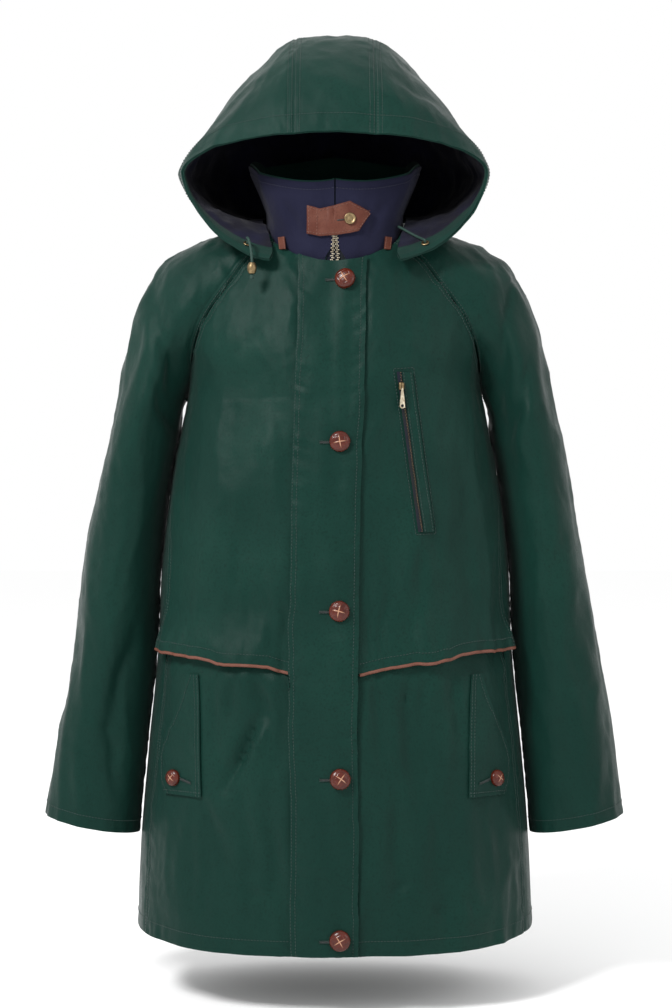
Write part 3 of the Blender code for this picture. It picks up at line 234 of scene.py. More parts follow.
# Front zip: half widths and depths of the tape and the chain
ZIP_TOP_Z = -0.040
ZIP_LOW_Z = -0.775
ZIP_TAPE_X = 0.0130
ZIP_CHAIN_X = 0.0026
ZIP_DEEP = WALL + GAP
ZIP_WALL = 0.0010
ZIP_DIP = 0.0040  # it passes behind the skirts' tucked tops

# The large folds of the body and sleeves: two ends, half width and depth (a ridge is below 0).
FOLDS = table(
    "x0 y0 z0 x1 y1 z1 width depth",
    (-0.205, -0.060, -0.055, -0.172, -0.060, -0.190, 0.016, 0.0060),
    (-0.200, -0.050, -0.150, -0.182, -0.040, -0.235, 0.013, 0.0050),
    (0.203, -0.060, -0.050, 0.180, -0.060, -0.190, 0.017, 0.0060),
    (0.222, -0.055, -0.145, 0.192, -0.060, -0.235, 0.014, 0.0045),
    (0.190, -0.060, -0.190, 0.205, -0.060, -0.300, 0.016, 0.0035),
    (-0.232, -0.050, -0.450, -0.262, -0.045, -0.600, 0.014, 0.0035),
    (0.245, -0.050, -0.300, 0.280, -0.045, -0.440, 0.018, -0.0030),
    (-0.092, -0.135, -0.550, -0.122, -0.130, -0.620, 0.012, 0.0050),
    (-0.100, -0.120, -0.240, -0.085, -0.130, -0.470, 0.028, 0.0035),
    (-0.150, -0.100, -0.300, -0.150, -0.100, -0.460, 0.022, -0.0030),
    (0.130, -0.120, -0.260, 0.145, -0.110, -0.470, 0.026, 0.0035),
    (0.085, -0.130, -0.520, 0.075, -0.140, -0.780, 0.020, 0.0040),
    (0.150, -0.110, -0.600, 0.165, -0.110, -0.790, 0.024, -0.0035),
    (-0.160, -0.105, -0.540, -0.150, -0.110, -0.780, 0.022, 0.0035),
    (0.205, 0.070, -0.060, 0.176, 0.080, -0.200, 0.017, 0.0060),
    (-0.203, 0.070, -0.055, -0.176, 0.080, -0.195, 0.016, 0.0060),
    (-0.090, 0.120, -0.200, -0.100, 0.125, -0.520, 0.030, 0.0070),
    (0.070, 0.125, -0.260, 0.095, 0.130, -0.600, 0.030, 0.0075),
    (-0.030, 0.130, -0.420, -0.020, 0.140, -0.810, 0.028, -0.0060),
    (0.150, 0.110, -0.460, 0.160, 0.120, -0.810, 0.028, 0.0065),
    (-0.165, 0.105, -0.500, -0.170, 0.115, -0.810, 0.026, 0.0065),
)


def read(rows, name, at):
    """The smooth curve through a table's column, at the given stations."""
    stations = next(iter(rows.values()))
    values = rows[name]
    slope = np.gradient(values, stations)
    i = np.clip(np.searchsorted(stations, at) - 1, 0, len(stations) - 2)
    h = stations[i + 1] - stations[i]
    f = np.clip((at - stations[i]) / h, 0, 1)
    start = values[i] * (1 + 2 * f) + slope[i] * h * f
    end = values[i + 1] * (3 - 2 * f) - slope[i + 1] * h * (1 - f)
    return start * (1 - f) ** 2 + end * f**2


def power(value, exponent):
    return np.sign(value) * np.abs(value) ** exponent


def ease(value):
    """0 below 0, 1 above 1 and smooth between."""
    f = np.clip(value, 0, 1)
    return f * f * (3 - 2 * f)


def unit(vectors):
    return vectors / np.maximum(np.linalg.norm(vectors, axis=-1, keepdims=True), 1e-12)


def lengths(line):
    """The distance along a line to each of its points."""
    return np.concatenate([[0], np.cumsum(np.linalg.norm(np.diff(line, axis=0), axis=1))])


def points_at(line, along, at):
    """A line's points, or its normals, at some distances along it."""
    return np.stack([np.interp(at, along, line[:, k]) for k in range(3)], axis=-1)


def grid_normals(grid):
    """The outward normal at each point of a grid whose rows go down and columns leftward."""
    along = np.gradient(grid, axis=0)
    across = np.gradient(grid, axis=1)
    return unit(np.cross(along, across))


def troughs(seen, rows, along_y=1.0):
    """How deep a table's troughs press each point in; along_y is how much y counts."""
    depth = np.zeros(seen.shape[:-1])
    for k in range(len(rows["x0"])):
        start = np.array([rows[n][k] for n in ("x0", "y0", "z0")])
        run = np.array([rows[n][k] for n in ("x1", "y1", "z1")]) - start
        along = np.clip((seen - start) @ run / (run @ run), 0, 1)
        away = seen - start - along[..., None] * run
        away[..., 1] *= along_y
        near = np.exp(-((away**2).sum(-1)) / rows["width"][k] ** 2)
        depth += rows["depth"][k] * near * np.sin(np.pi * (0.1 + 0.8 * along))
    return depth


def folded(points, normals):
    """The points with the large folds pressed in along the normals."""
    return points - normals * troughs(points, FOLDS, 0.5)[..., None]


# --- the coat's surface: rows of points on the wearer's left (+X) half ---------------------


def torso_ring(down, turn):
    """A ring of the body; turn is 0 at the centre front, 90 at the side and 180 at the back."""
    angle = np.radians(turn)
    front = read(TORSO, "front", down) + SIDE_Y
    back = read(TORSO, "back", down) - SIDE_Y
    depth = np.where(np.cos(angle) > 0, front, back)
    x = read(TORSO, "half_width", down) * power(np.sin(angle), 2 / ROUND)
    y = SIDE_Y - depth * power(np.cos(angle), 2 / ROUND)
    return np.stack([x, y, -down + 0 * x], axis=-1)


def side_seam_turn(down):
    """The side seam starts at the underarm and runs forward to the flap's end."""
    return 90 - (90 - SIDE_TURN) * ease((down + UNDERARM_Z) / 0.20)


def sleeve_ring(station, angle):
    """A ring of the sleeve; angle runs from -cut (front seam) over 0 (top) to +cut (back)."""
    row = {name: read(SLEEVE, name, station) for name in SLEEVE}
    cut = np.radians(np.minimum(row["cut_deg"], 180))
    share = 1 - np.cos(cut)
    out_x = (row["top_x"] - row["seam_x"]) / share
    out_z = (row["top_z"] - row["seam_z"]) / share
    x = row["top_x"] - out_x + out_x * np.cos(angle)
    z = row["top_z"] - out_z + out_z * np.cos(angle)
    z = z + row["back_rise"] * np.maximum(np.sin(angle), 0)
    y = row["centre_y"] + row["half_depth"] * np.sin(angle)
    return np.stack([x + 0 * y, y, z], axis=-1)


def seam_point(station, side):
    """A point of the raglan seam; side is -1 at the front and +1 at the back."""
    cut = math.radians(min(float(read(SLEEVE, "cut_deg", station)), 180))
    return sleeve_ring(station, np.array(side * cut))


def yoke_row(station, shares, side):
    """A body row above the underarm, from the centre front or back to the raglan seam."""
    end = seam_point(station, side)
    neck_y, neck_z = (NECK_FRONT_Y, NECK_FRONT_Z) if side < 0 else (NECK_BACK_Y, NECK_BACK_Z)
    low_y = float(TORSO["front" if side < 0 else "back"][0])
    depth = neck_y + (low_y - neck_y) * math.sin(station * math.pi / 2) + SIDE_Y * -side
    centre_z = neck_z + (-UNDERARM_Z + neck_z) * -station
    reach = min(abs(end[1] - SIDE_Y) / depth, 1.0)
    wide = end[0] / (1 - reach**ROUND) ** (1 / ROUND)
    last = math.asin(min(1.0, (end[0] / wide) ** (ROUND / 2)))
    angle = last * shares
    x = wide * np.sin(angle) ** (2 / ROUND)
    y = SIDE_Y + side * depth * np.cos(angle) ** (2 / ROUND)
    if last > 1.57:
        y[-1] = end[1]
    z = centre_z + (end[2] - centre_z) * (x / end[0]) ** 2
    row = np.stack([x, y, z], axis=-1)
    row[-1] = end
    return row


def flap_edge_z(turn):
    """The height of the storm flap's lower edge round the front, with its shallow wave."""
    f = np.clip(turn / SIDE_TURN, 0, 1)
    wave = 0.0030 * np.sin(f * math.pi * 2.0 + 0.4) * np.sin(f * math.pi)
    return FLAP_FRONT_Z + (FLAP_SIDE_Z - FLAP_FRONT_Z) * f**1.3 + wave


def hem_z(turn):
    return HEM_Z + HEM_SIDE_RISE * np.sin(np.radians(turn)) ** 4


def trimmed(grid, x_from):
    """The grid with its first column moved out from the centre line."""
    grid = grid.copy()
    share = (x_from / np.maximum(grid[:, 1, 0], x_from * 1.5))[:, None]
    grid[:, 0] = grid[:, 0] * (1 - share) + grid[:, 1] * share
    grid[:, 0, 0] = x_from
    return grid


def proud(grid, turns):
    """Stands the lowest part of an upper front out as the storm flap."""
    edge = flap_edge_z(turns)
    above = grid[..., 2] - edge
    f = np.clip(turns / SIDE_TURN, 0, 1)
    most = FLAP_PROUD_AT_FLY + (FLAP_PROUD - FLAP_PROUD_AT_FLY) * ease(f * 2.6 - 0.38)
    lift = most * ease(1 - above / FLAP_LENGTH) ** 1.5
    return grid + grid_normals(grid) * lift[..., None]


# --- finer grids ---------------------------------------------------------------------------

YOKE_STEPS = 54  # rows from the neck to the underarm
UPPER_STEPS = 64  # and on to the flap's edge
SKIRT_STEPS = 72  # and on to the hem
BODY_COLUMNS = 81
SLEEVE_COLUMNS = 113
ARM_STEPS = 126
TUCK_ROWS = 7  # rows of the skirt that go up behind the flap
FLAP_ROW = YOKE_STEPS + UPPER_STEPS


def hung_rows(top, low, steps, turns):
    """Body rows between two heights; top and low are functions of the turn."""
    every = np.arange(181)
    top_at, low_at = -(top(every) + 0.0 * every), -(low(every) + 0.0 * every)
    rows = []
    for share in np.linspace(0, 1, steps + 1):
        levels = top_at + (low_at - top_at) * share
        turn = turns(float(levels.mean()))
        rows.append(torso_ring(np.interp(turn, every, levels), turn))
    return np.array(rows)


def lower_rows(turns):
    above = hung_rows(lambda t: UNDERARM_Z, flap_edge_z, UPPER_STEPS, turns)
    below = hung_rows(flap_edge_z, hem_z, SKIRT_STEPS, turns)
    return np.concatenate([above[1:], below[1:]])


def crowded(count, amount=0.75):
    """Shares from 0 to 1 that crowd towards both ends, where the seams are."""
    at = np.linspace(0, 1, count)
    return at - amount * np.sin(2 * np.pi * at) / (2 * np.pi)


def front_turns(down):
    return side_seam_turn(down) * crowded(BODY_COLUMNS)


def back_turns(down):
    side = side_seam_turn(down)
    return side + (180 - side) * np.sin(crowded(BODY_COLUMNS, 0.6) * np.pi / 2)


def whole_front():
    yoke = [yoke_row(s, crowded(BODY_COLUMNS), -1) for s in np.linspace(0, 1, YOKE_STEPS + 1)]
    return np.concatenate([yoke, lower_rows(front_turns)])


def whole_back():
    """The left half of the back; its first column is the side seam."""
    across = np.sin(crowded(BODY_COLUMNS, 0.6) * np.pi / 2)
    stations = np.linspace(0, 1, YOKE_STEPS + 1)
    yoke = np.array([yoke_row(s, 1 - across[::-1], 1) for s in stations])
    return np.concatenate([yoke[:, ::-1], lower_rows(back_turns)])


def sleeve_grid():
    """Rows from the neck to the cuff; a row's last point is its first below the underarm."""
    stations = np.concatenate(
        [np.linspace(0, 1, YOKE_STEPS + 1), np.linspace(1, 3, ARM_STEPS + 1)[1:]]
    )
    rows = []
    for s in stations:
        cut = math.radians(min(float(read(SLEEVE, "cut_deg", s)), 180)) if s < 1 else math.pi
        rows.append(sleeve_ring(s, cut * (2 * crowded(SLEEVE_COLUMNS, 0.6) - 1)))
    return np.array(rows)


# --- creases -------------------------------------------------------------------------------

# Finer creases, seen from the front (side -1) or the back (1). A ridge is below 0.
CREASES = table(
    "side x0 z0 x1 z1 width depth",
    (-1, -0.214, -0.052, -0.196, -0.120, 0.007, 0.0026),
    (-1, -0.196, -0.118, -0.178, -0.200, 0.008, 0.0032),
    (-1, -0.207, -0.160, -0.186, -0.222, 0.006, 0.0024),
    (-1, -0.222, -0.070, -0.214, -0.130, 0.010, -0.0016),
    (-1, -0.186, -0.130, -0.168, -0.168, 0.007, -0.0016),
    (-1, 0.206, -0.048, 0.194, -0.110, 0.007, 0.0026),
    (-1, 0.192, -0.108, 0.186, -0.186, 0.008, 0.0030),
    (-1, 0.226, -0.146, 0.196, -0.236, 0.007, 0.0028),
    (-1, 0.186, -0.186, 0.188, -0.250, 0.007, 0.0022),
    (-1, 0.212, -0.180, 0.198, -0.262, 0.009, -0.0015),
    (-1, 0.238, -0.060, 0.244, -0.200, 0.012, -0.0016),
    (-1, -0.231, -0.450, -0.256, -0.560, 0.009, 0.0026),
    (-1, -0.262, -0.560, -0.246, -0.640, 0.008, 0.0018),
    (-1, -0.284, -0.300, -0.300, -0.420, 0.012, -0.0016),
    (-1, -0.250, -0.250, -0.236, -0.330, 0.009, 0.0018),
    (-1, 0.262, -0.330, 0.246, -0.420, 0.010, 0.0020),
    (-1, 0.270, -0.470, 0.292, -0.560, 0.011, 0.0018),
    (-1, 0.300, -0.520, 0.286, -0.600, 0.009, -0.0014),
    (-1, -0.088, -0.545, -0.120, -0.625, 0.008, 0.0058),
    (-1, -0.078, -0.550, -0.104, -0.610, 0.008, -0.0030),
    (-1, -0.086, -0.500, -0.080, -0.560, 0.007, 0.0040),
    (-1, -0.112, -0.495, -0.118, -0.560, 0.007, 0.0030),
    (-1, -0.140, -0.495, -0.128, -0.600, 0.008, 0.0028),
    (-1, -0.100, -0.620, -0.094, -0.780, 0.012, 0.0026),
    (-1, -0.068, -0.600, -0.072, -0.770, 0.011, 0.0026),
    (-1, 0.044, -0.500, 0.046, -0.590, 0.008, 0.0034),
    (-1, 0.074, -0.500, 0.086, -0.600, 0.008, 0.0034),
    (-1, 0.100, -0.500, 0.096, -0.570, 0.007, 0.0026),
    (-1, 0.128, -0.495, 0.138, -0.600, 0.009, 0.0034),
    (-1, 0.070, -0.620, 0.062, -0.770, 0.012, 0.0028),
    (-1, 0.110, -0.640, 0.122, -0.790, 0.012, 0.0026),
    (-1, -0.060, -0.420, -0.054, -0.488, 0.006, 0.0028),
    (-1, -0.076, -0.400, -0.068, -0.486, 0.007, 0.0026),
    (-1, -0.096, -0.380, -0.092, -0.482, 0.010, 0.0026),
    (-1, 0.040, -0.420, 0.038, -0.490, 0.007, 0.0026),
    (-1, 0.058, -0.410, 0.052, -0.486, 0.007, 0.0026),
    (-1, 0.094, -0.360, 0.084, -0.480, 0.010, 0.0026),
    (-1, -0.094, -0.736, -0.088, -0.744, 0.006, 0.0016),
    (-1, 0.062, -0.738, 0.080, -0.727, 0.005, 0.0022),
    (-1, 0.106, -0.756, 0.124, -0.768, 0.005, 0.0020),
    (-1, 0.138, -0.742, 0.160, -0.762, 0.006, 0.0022),
    (-1, -0.150, -0.640, -0.110, -0.720, 0.009, 0.0016),
    (-1, -0.072, -0.200, -0.066, -0.300, 0.012, -0.0012),
    (-1, -0.120, -0.300, -0.104, -0.420, 0.011, 0.0016),
    (-1, -0.070, -0.340, -0.080, -0.450, 0.010, 0.0014),
    (-1, 0.060, -0.360, 0.074, -0.462, 0.010, 0.0016),
    (-1, 0.112, -0.330, 0.124, -0.440, 0.010, 0.0016),
    (-1, 0.150, -0.250, 0.142, -0.360, 0.010, 0.0015),
    (-1, 0.066, -0.120, 0.104, -0.150, 0.009, -0.0012),
    (-1, -0.080, -0.110, -0.120, -0.150, 0.010, 0.0013),
    (-1, 0.050, -0.520, 0.058, -0.620, 0.010, 0.0018),
    (-1, 0.112, -0.530, 0.104, -0.640, 0.009, 0.0016),
    (-1, -0.060, -0.530, -0.056, -0.640, 0.010, 0.0014),
    (1, 0.202, -0.060, 0.184, -0.150, 0.009, 0.0030),
    (1, 0.184, -0.140, 0.172, -0.230, 0.008, 0.0026),
    (1, -0.204, -0.064, -0.186, -0.150, 0.009, 0.0030),
    (1, -0.190, -0.150, -0.174, -0.240, 0.008, 0.0026),
    (1, 0.230, -0.130, 0.206, -0.220, 0.009, 0.0022),
    (1, -0.236, -0.200, -0.214, -0.290, 0.009, 0.0022),
    (1, -0.120, -0.250, -0.134, -0.430, 0.012, 0.0020),
    (1, -0.060, -0.300, -0.052, -0.520, 0.013, -0.0018),
    (1, 0.020, -0.360, 0.030, -0.600, 0.012, 0.0020),
    (1, 0.106, -0.300, 0.126, -0.500, 0.012, 0.0020),
    (1, 0.150, -0.560, 0.146, -0.730, 0.010, 0.0018),
    (1, -0.130, -0.600, -0.150, -0.760, 0.010, 0.0020),
    (1, -0.030, -0.640, -0.044, -0.780, 0.010, 0.0016),
    (1, 0.070, -0.660, 0.082, -0.790, 0.010, 0.0018),
    (1, -0.080, -0.060, -0.020, -0.086, 0.012, 0.0014),
    (1, 0.040, -0.070, 0.110, -0.100, 0.012, 0.0014),
    (1, 0.262, -0.330, 0.280, -0.430, 0.010, 0.0018),
    (1, -0.264, -0.360, -0.250, -0.460, 0.010, 0.0018),
    (1, 0.292, -0.540, 0.276, -0.620, 0.009, 0.0016),
)

# Crumple: how far the cloth moves in and out, over what widths and heights, and its seed
CRUMPLE = table(
    "seed amount wide tall",
    (3, 0.0036, 0.075, 0.210),
    (11, 0.0019, 0.030, 0.090),
    (23, 0.0005, 0.012, 0.022),
)
WARP = 0.010  # how far the creases wander from their straight lines
CREASE_SCALE = 1.4
CREASE_SKIRT = 0.2  # added to it below the flaps


def noise_at(points, wide, tall, seed):
    scale = np.array([1 / wide, 1 / wide, 1 / tall])
    at = points.reshape(-1, 3) * scale + seed * 7.31
    return np.array([noise.noise(Vector(p)) for p in at]).reshape(points.shape[:-1])


def creased(points):
    """How deep the listed creases press each point in."""
    wander = noise_at(points, 0.05, 0.05, 5)[..., None] * WARP
    seen = points[..., [0, 2]] + wander * np.array([1.0, 0.6])
    facing = ease((points[..., 1] - SIDE_Y) / 0.05 + 0.5)  # 1 at the back, 0 at the front
    depth = np.zeros(points.shape[:-1])
    scale = CREASE_SCALE + CREASE_SKIRT * ease((FLAP_SIDE_Z - points[..., 2]) / 0.04)
    for k, side in enumerate(CREASES["side"]):
        start = np.array([CREASES["x0"][k], CREASES["z0"][k]])
        run = np.array([CREASES["x1"][k], CREASES["z1"][k]]) - start
        raw = (seen - start) @ run / (run @ run)
        along = np.clip(raw, 0, 1)
        away = np.linalg.norm(seen - start - along[..., None] * run, axis=-1)
        narrow = CREASES["width"][k] * (0.45 + 0.9 * along * (1.6 - along))
        press = np.exp(-((away / narrow) ** 2)) * np.sin(np.pi * (0.12 + 0.76 * along))
        depth += scale * CREASES["depth"][k] * press * (facing if side > 0 else 1 - facing)
    return depth


def beside_sleeve(points):
    """1 where the body and a sleeve hang close to each other, 0 well away from there."""
    side = read(TORSO, "half_width", np.clip(-points[..., 2], 0.19, 0.806)) + 0.002
    near = np.exp(-(((np.abs(points[..., 0]) - side) / 0.018) ** 2))
    return near * ease((UNDERARM_Z - points[..., 2]) / 0.03)


def crumpled(points, share=1.0):
    depth = np.zeros(points.shape[:-1])
    share = share * (1 - 0.85 * beside_sleeve(points))
    for k, seed in enumerate(CRUMPLE["seed"]):
        value = noise_at(points, CRUMPLE["wide"][k], CRUMPLE["tall"][k], seed)
        depth += CRUMPLE["amount"][k] * (np.abs(value) * 2.2 - 0.45)
    return depth * share


def edge_distances(grid):
    """Each point's distance along the cloth from the four edges: start, end, top, bottom."""
    across = np.linalg.norm(np.diff(grid, axis=1), axis=-1)
    down = np.linalg.norm(np.diff(grid, axis=0), axis=-1)
    start = np.concatenate([np.zeros_like(across[:, :1]), np.cumsum(across, axis=1)], axis=1)
    top = np.concatenate([np.zeros_like(down[:1]), np.cumsum(down, axis=0)], axis=0)
    return {"s": start, "e": start[:, -1:] - start, "t": top, "b": top[-1:] - top}


SEAM_WIDTH = 0.0028  # half width of the groove along a seam
SEAM_DEPTH = 0.0009
TOPSTITCH = 0.0065  # between a seam and its row of stitches
PUCKER = 0.0013  # height of the ripples that the stitches pull in the cloth
PUCKER_REACH = 0.013
SEEDS = {"s": 1, "e": 2, "t": 3, "b": 4}  # of the ripples at each edge


def ripples(away, side, pitch, reach, seed):
    """Noise that runs in waves along one edge of a panel."""
    run = away["t"] if side in "se" else away["s"]
    at = np.stack([run / pitch, away[side] / reach, run * 0 + seed], axis=-1).reshape(-1, 3)
    return np.array([noise.noise(Vector(p)) for p in at]).reshape(run.shape)


def sewn(grid, normals, seams, pucker=1.0, hems=""):
    """Presses a groove along the seams and ripples the cloth beside them and the hems."""
    away = edge_distances(grid)
    depth = np.zeros(grid.shape[:2])
    for side in seams + hems:
        d = away[side]
        if side in seams:
            depth += SEAM_DEPTH * np.exp(-((d / SEAM_WIDTH) ** 2))
        value = ripples(away, side, 0.0075, 0.030, SEEDS[side])
        near = np.exp(-(((d - TOPSTITCH * 0.6) / PUCKER_REACH) ** 2))
        near = near * (1 - np.exp(-((d / 0.002) ** 2)))
        depth += PUCKER * pucker * value * near
        depth += 0.0005 * np.exp(-(((d - TOPSTITCH) / 0.0014) ** 2))
    return grid - normals * depth[..., None]


# --- making pieces -------------------------------------------------------------------------

COAT, PULL = "coat", "pull_tab"


def mirrored(grid):
    """The wearer's right side; columns are turned round so that the outside stays outside."""
    flipped = grid[:, ::-1].copy()
    flipped[..., 0] *= -1
    return flipped


def seam_key(point):
    return tuple(np.round(np.asarray(point) / 2e-5).astype(int))


def edge_indices(grid):
    rows, columns = grid.shape[:2]
    for i, j in np.ndindex(rows, columns):
        if i in (0, rows - 1) or j in (0, columns - 1):
            yield i, j


def joined_normals(panels):
    """Each panel's normals, with those at a seam the mean of the panels that meet there."""
    plain = {name: grid_normals(grid) for name, grid in panels.items()}
    met = {}
    for name, grid in panels.items():
        for place in edge_indices(grid):
            met.setdefault(seam_key(grid[place]), []).append(plain[name][place])
    for name, grid in panels.items():
        for place in edge_indices(grid):
            total = sum(met[seam_key(grid[place])])
            if np.linalg.norm(total) > 0.7:
                plain[name][place] = unit(total)
            else:
                plain[name][place] = (0, 0, -1)
    return plain


def add_mesh(name, points, faces, material, body=COAT, slot=None, uv=None):
    """A smooth mesh that rides a body; with a slot it stands for the solid of its name."""
    mesh = bpy.data.meshes.new(name)
    mesh.from_pydata(np.asarray(points, float).tolist(), [], [tuple(f) for f in faces])
    mesh.validate()
    mesh.update()
    if uv is not None:
        layer = mesh.uv_layers.new(name="cloth")
        index = np.empty(len(mesh.loops), int)
        mesh.loops.foreach_get("vertex_index", index)
        layer.data.foreach_set("uv", np.asarray(uv, np.float32)[index].ravel())
    mesh.shade_smooth()
    mesh.set_sharp_from_angle(angle=math.radians(55))
    mesh.materials.append(material)
    made = bpy.data.objects.new(name, mesh)
    bpy.context.collection.objects.link(made)
    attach(made, body)
    if slot:
        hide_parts(name)
    return made


def grid_quads(rows, columns, first=0):
    corner = (first + np.arange(rows - 1)[:, None] * columns + np.arange(columns - 1)).ravel()
    return np.stack([corner, corner + 1, corner + columns + 1, corner + columns], axis=-1)


def wall(name, outer, thickness, material, **words):
    """A cloth wall from a grid of its outer points, with a rolled rim."""
    rows, columns = outer.shape[:2]
    normals = grid_normals(outer)
    inner = outer - normals * thickness
    away = edge_distances(outer)
    uv = np.stack([away["s"], -away["t"]], axis=-1).reshape(-1, 2)
    points = np.concatenate([outer.reshape(-1, 3), inner.reshape(-1, 3)])
    layer = rows * columns
    quads = grid_quads(rows, columns)
    faces = np.concatenate([quads, quads[:, ::-1] + layer])
    loop = list(range(columns))
    loop += [i * columns + columns - 1 for i in range(1, rows)]
    loop += [(rows - 1) * columns + j for j in range(columns - 2, -1, -1)]
    loop += [i * columns for i in range(rows - 2, 0, -1)]
    ring = np.array(loop)
    after = np.roll(ring, -1)
    rim = np.stack([after, ring, ring + layer, after + layer], axis=-1)
    faces = np.concatenate([faces, rim])
    return add_mesh(name, points, faces, material, uv=np.concatenate([uv, uv]), **words)


def tube_faces(count, sides, first=0, closed=False):
    faces = []
    for i in range(count - 1):
        for j in range(sides):
            k = (j + 1) % sides
            a, b = first + i * sides, first + (i + 1) * sides
            faces.append((a + j, a + k, b + k, b + j))
    if not closed:
        faces.append(tuple(first + j for j in reversed(range(sides))))
        faces.append(tuple(first + (count - 1) * sides + j for j in range(sides)))
    return faces


def tube_rings(line, radius, sides):
    """Rings of points round a line, turned as little as they can be."""
    line = np.asarray(line, float)
    along = unit(np.gradient(line, axis=0))
    level = np.eye(3)[np.abs(along).max(axis=0).argmin()]
    first = unit(np.cross(along, level))
    second = np.cross(first, along)
    turn = np.arange(sides) * 2 * math.pi / sides
    radius = np.broadcast_to(np.asarray(radius, float), (len(line),))[:, None, None]
    cosine, sine = np.cos(turn)[None, :, None], np.sin(turn)[None, :, None]
    return line[:, None] + radius * (first[:, None] * cosine - second[:, None] * sine)


def cord_mesh(name, line, radius, material, sides=12, **words):
    rings = tube_rings(line, radius, sides)
    return add_mesh(name, rings.reshape(-1, 3), tube_faces(len(rings), sides), material, **words)


AHEAD = 0.001  # how far along a line its direction is read


def resampled(line, normals, pitch):
    """Points, directions and normals at equal steps along a line."""
    along = lengths(line)
    count = max(int(along[-1] / pitch), 1)
    at = (np.arange(count) + 0.5) * along[-1] / count
    ahead = points_at(line, along, at + AHEAD) - points_at(line, along, at - AHEAD)
    return points_at(line, along, at), unit(ahead), unit(points_at(normals, along, at))


STITCHES = {}
STITCH_PITCH = 0.0036
STITCH_LENGTH = 0.0027
STITCH_WIDTH = 0.00075


def stitch(kind, line, normals, pitch=STITCH_PITCH, length=STITCH_LENGTH, width=STITCH_WIDTH):
    """Adds a row of stitches along a line to those of one colour of thread."""
    place, along, normal = resampled(np.asarray(line), np.asarray(normals), pitch)
    side = unit(np.cross(along, normal))
    points = STITCHES.setdefault(kind, [])
    for p, a, n, s in zip(place, along, normal, side):
        for share, half, lift in ((-1, 0.25, -0.3), (-0.45, 1, 0.45), (0.45, 1, 0.45), (1, 0.25, -0.3)):
            middle = p + a * length / 2 * share + n * width * lift
            points += [
                middle + s * width / 2 * half,
                middle + n * width / 2 * half,
                middle - s * width / 2 * half,
                middle - n * width / 2 * half,
            ]


def make_stitches(materials):
    for kind, points in STITCHES.items():
        faces = []
        for first in range(0, len(points), 16):
            faces += tube_faces(4, 4, first)
        add_mesh(f"stitches_{kind}", points, faces, materials[kind])


def inset_line(grid, normals, side, distance, first=0.0, last=1.0):
    """The line on a grid at a distance from one edge, between two shares of its length."""
    away = edge_distances(grid)[side]
    out, facing = [], []
    lines = range(grid.shape[0]) if side in "se" else range(grid.shape[1])
    for k in lines:
        take = np.s_[k] if side in "se" else np.s_[:, k]
        d, p, n = away[take], grid[take], normals[take]
        if side in "eb":
            d, p, n = d[::-1], p[::-1], n[::-1]
        out.append([np.interp(distance, d, p[:, c]) for c in range(3)])
        facing.append([np.interp(distance, d, n[:, c]) for c in range(3)])
    a, b = int(first * (len(out) - 1)), int(last * (len(out) - 1)) + 1
    return np.array(out[a:b]), unit(np.array(facing[a:b]))


def stitch_edges(kind, grid, sides, distances, **words):
    normals = grid_normals(grid)
    for side in sides:
        for distance in distances:
            stitch(kind, *inset_line(grid, normals, side, distance), **words)


CAST_FROM_Y = -0.5  # well in front of the coat


def tree(*grids):
    """Grids joined as one surface that points are found on."""
    points, faces = [], []
    for grid in grids:
        faces += grid_quads(*grid.shape[:2], len(points)).tolist()
        points += grid.reshape(-1, 3).tolist()
    return BVHTree.FromPolygons(points, faces)


def front_at(surface, x, z):
    """The surface's point behind (x, z) as seen from the front, and its outward normal."""
    place, normal, _, _ = surface.ray_cast(Vector((x, CAST_FROM_Y, z)), Vector((0, 1, 0)))
    if place is None:
        place, normal, _, _ = surface.find_nearest(Vector((x, -0.1, z)))
    normal = np.array(normal)
    return np.array(place), normal if normal[1] < 0 else -normal


def laid(surface, xs, zs, lift):
    """A grid laid on a surface seen from the front; xs, zs and lift share its shape."""
    xs, zs, lift = np.broadcast_arrays(xs, zs, lift)
    grid = np.zeros(xs.shape + (3,))
    for index in np.ndindex(xs.shape):
        place, normal = front_at(surface, float(xs[index]), float(zs[index]))
        grid[index] = place + normal * float(lift[index])
    return grid


def line_on(surface, points, lift, count=60):
    """A line laid on a surface through a few (x, z) points, and its normals."""
    points = np.asarray(points, float)
    step = lengths(points)
    at = np.linspace(0, step[-1], count)
    line, normals = [], []
    for x, z in zip(np.interp(at, step, points[:, 0]), np.interp(at, step, points[:, 1])):
        place, normal = front_at(surface, x, z)
        line.append(place + normal * lift)
        normals.append(normal)
    return np.array(line), np.array(normals)


def smooth_line(points, count):
    """A smooth curve through a few points, at equal steps of its length."""
    points = np.asarray(points, float)
    stations = np.arange(len(points), dtype=float)
    at = np.linspace(0, len(points) - 1, 400)
    columns = [read({"at": stations, "v": points[:, k]}, "v", at) for k in range(3)]
    fine = np.stack(columns, axis=-1)
    along = lengths(fine)
    return points_at(fine, along, np.linspace(0, along[-1], count))


# --- materials -----------------------------------------------------------------------------


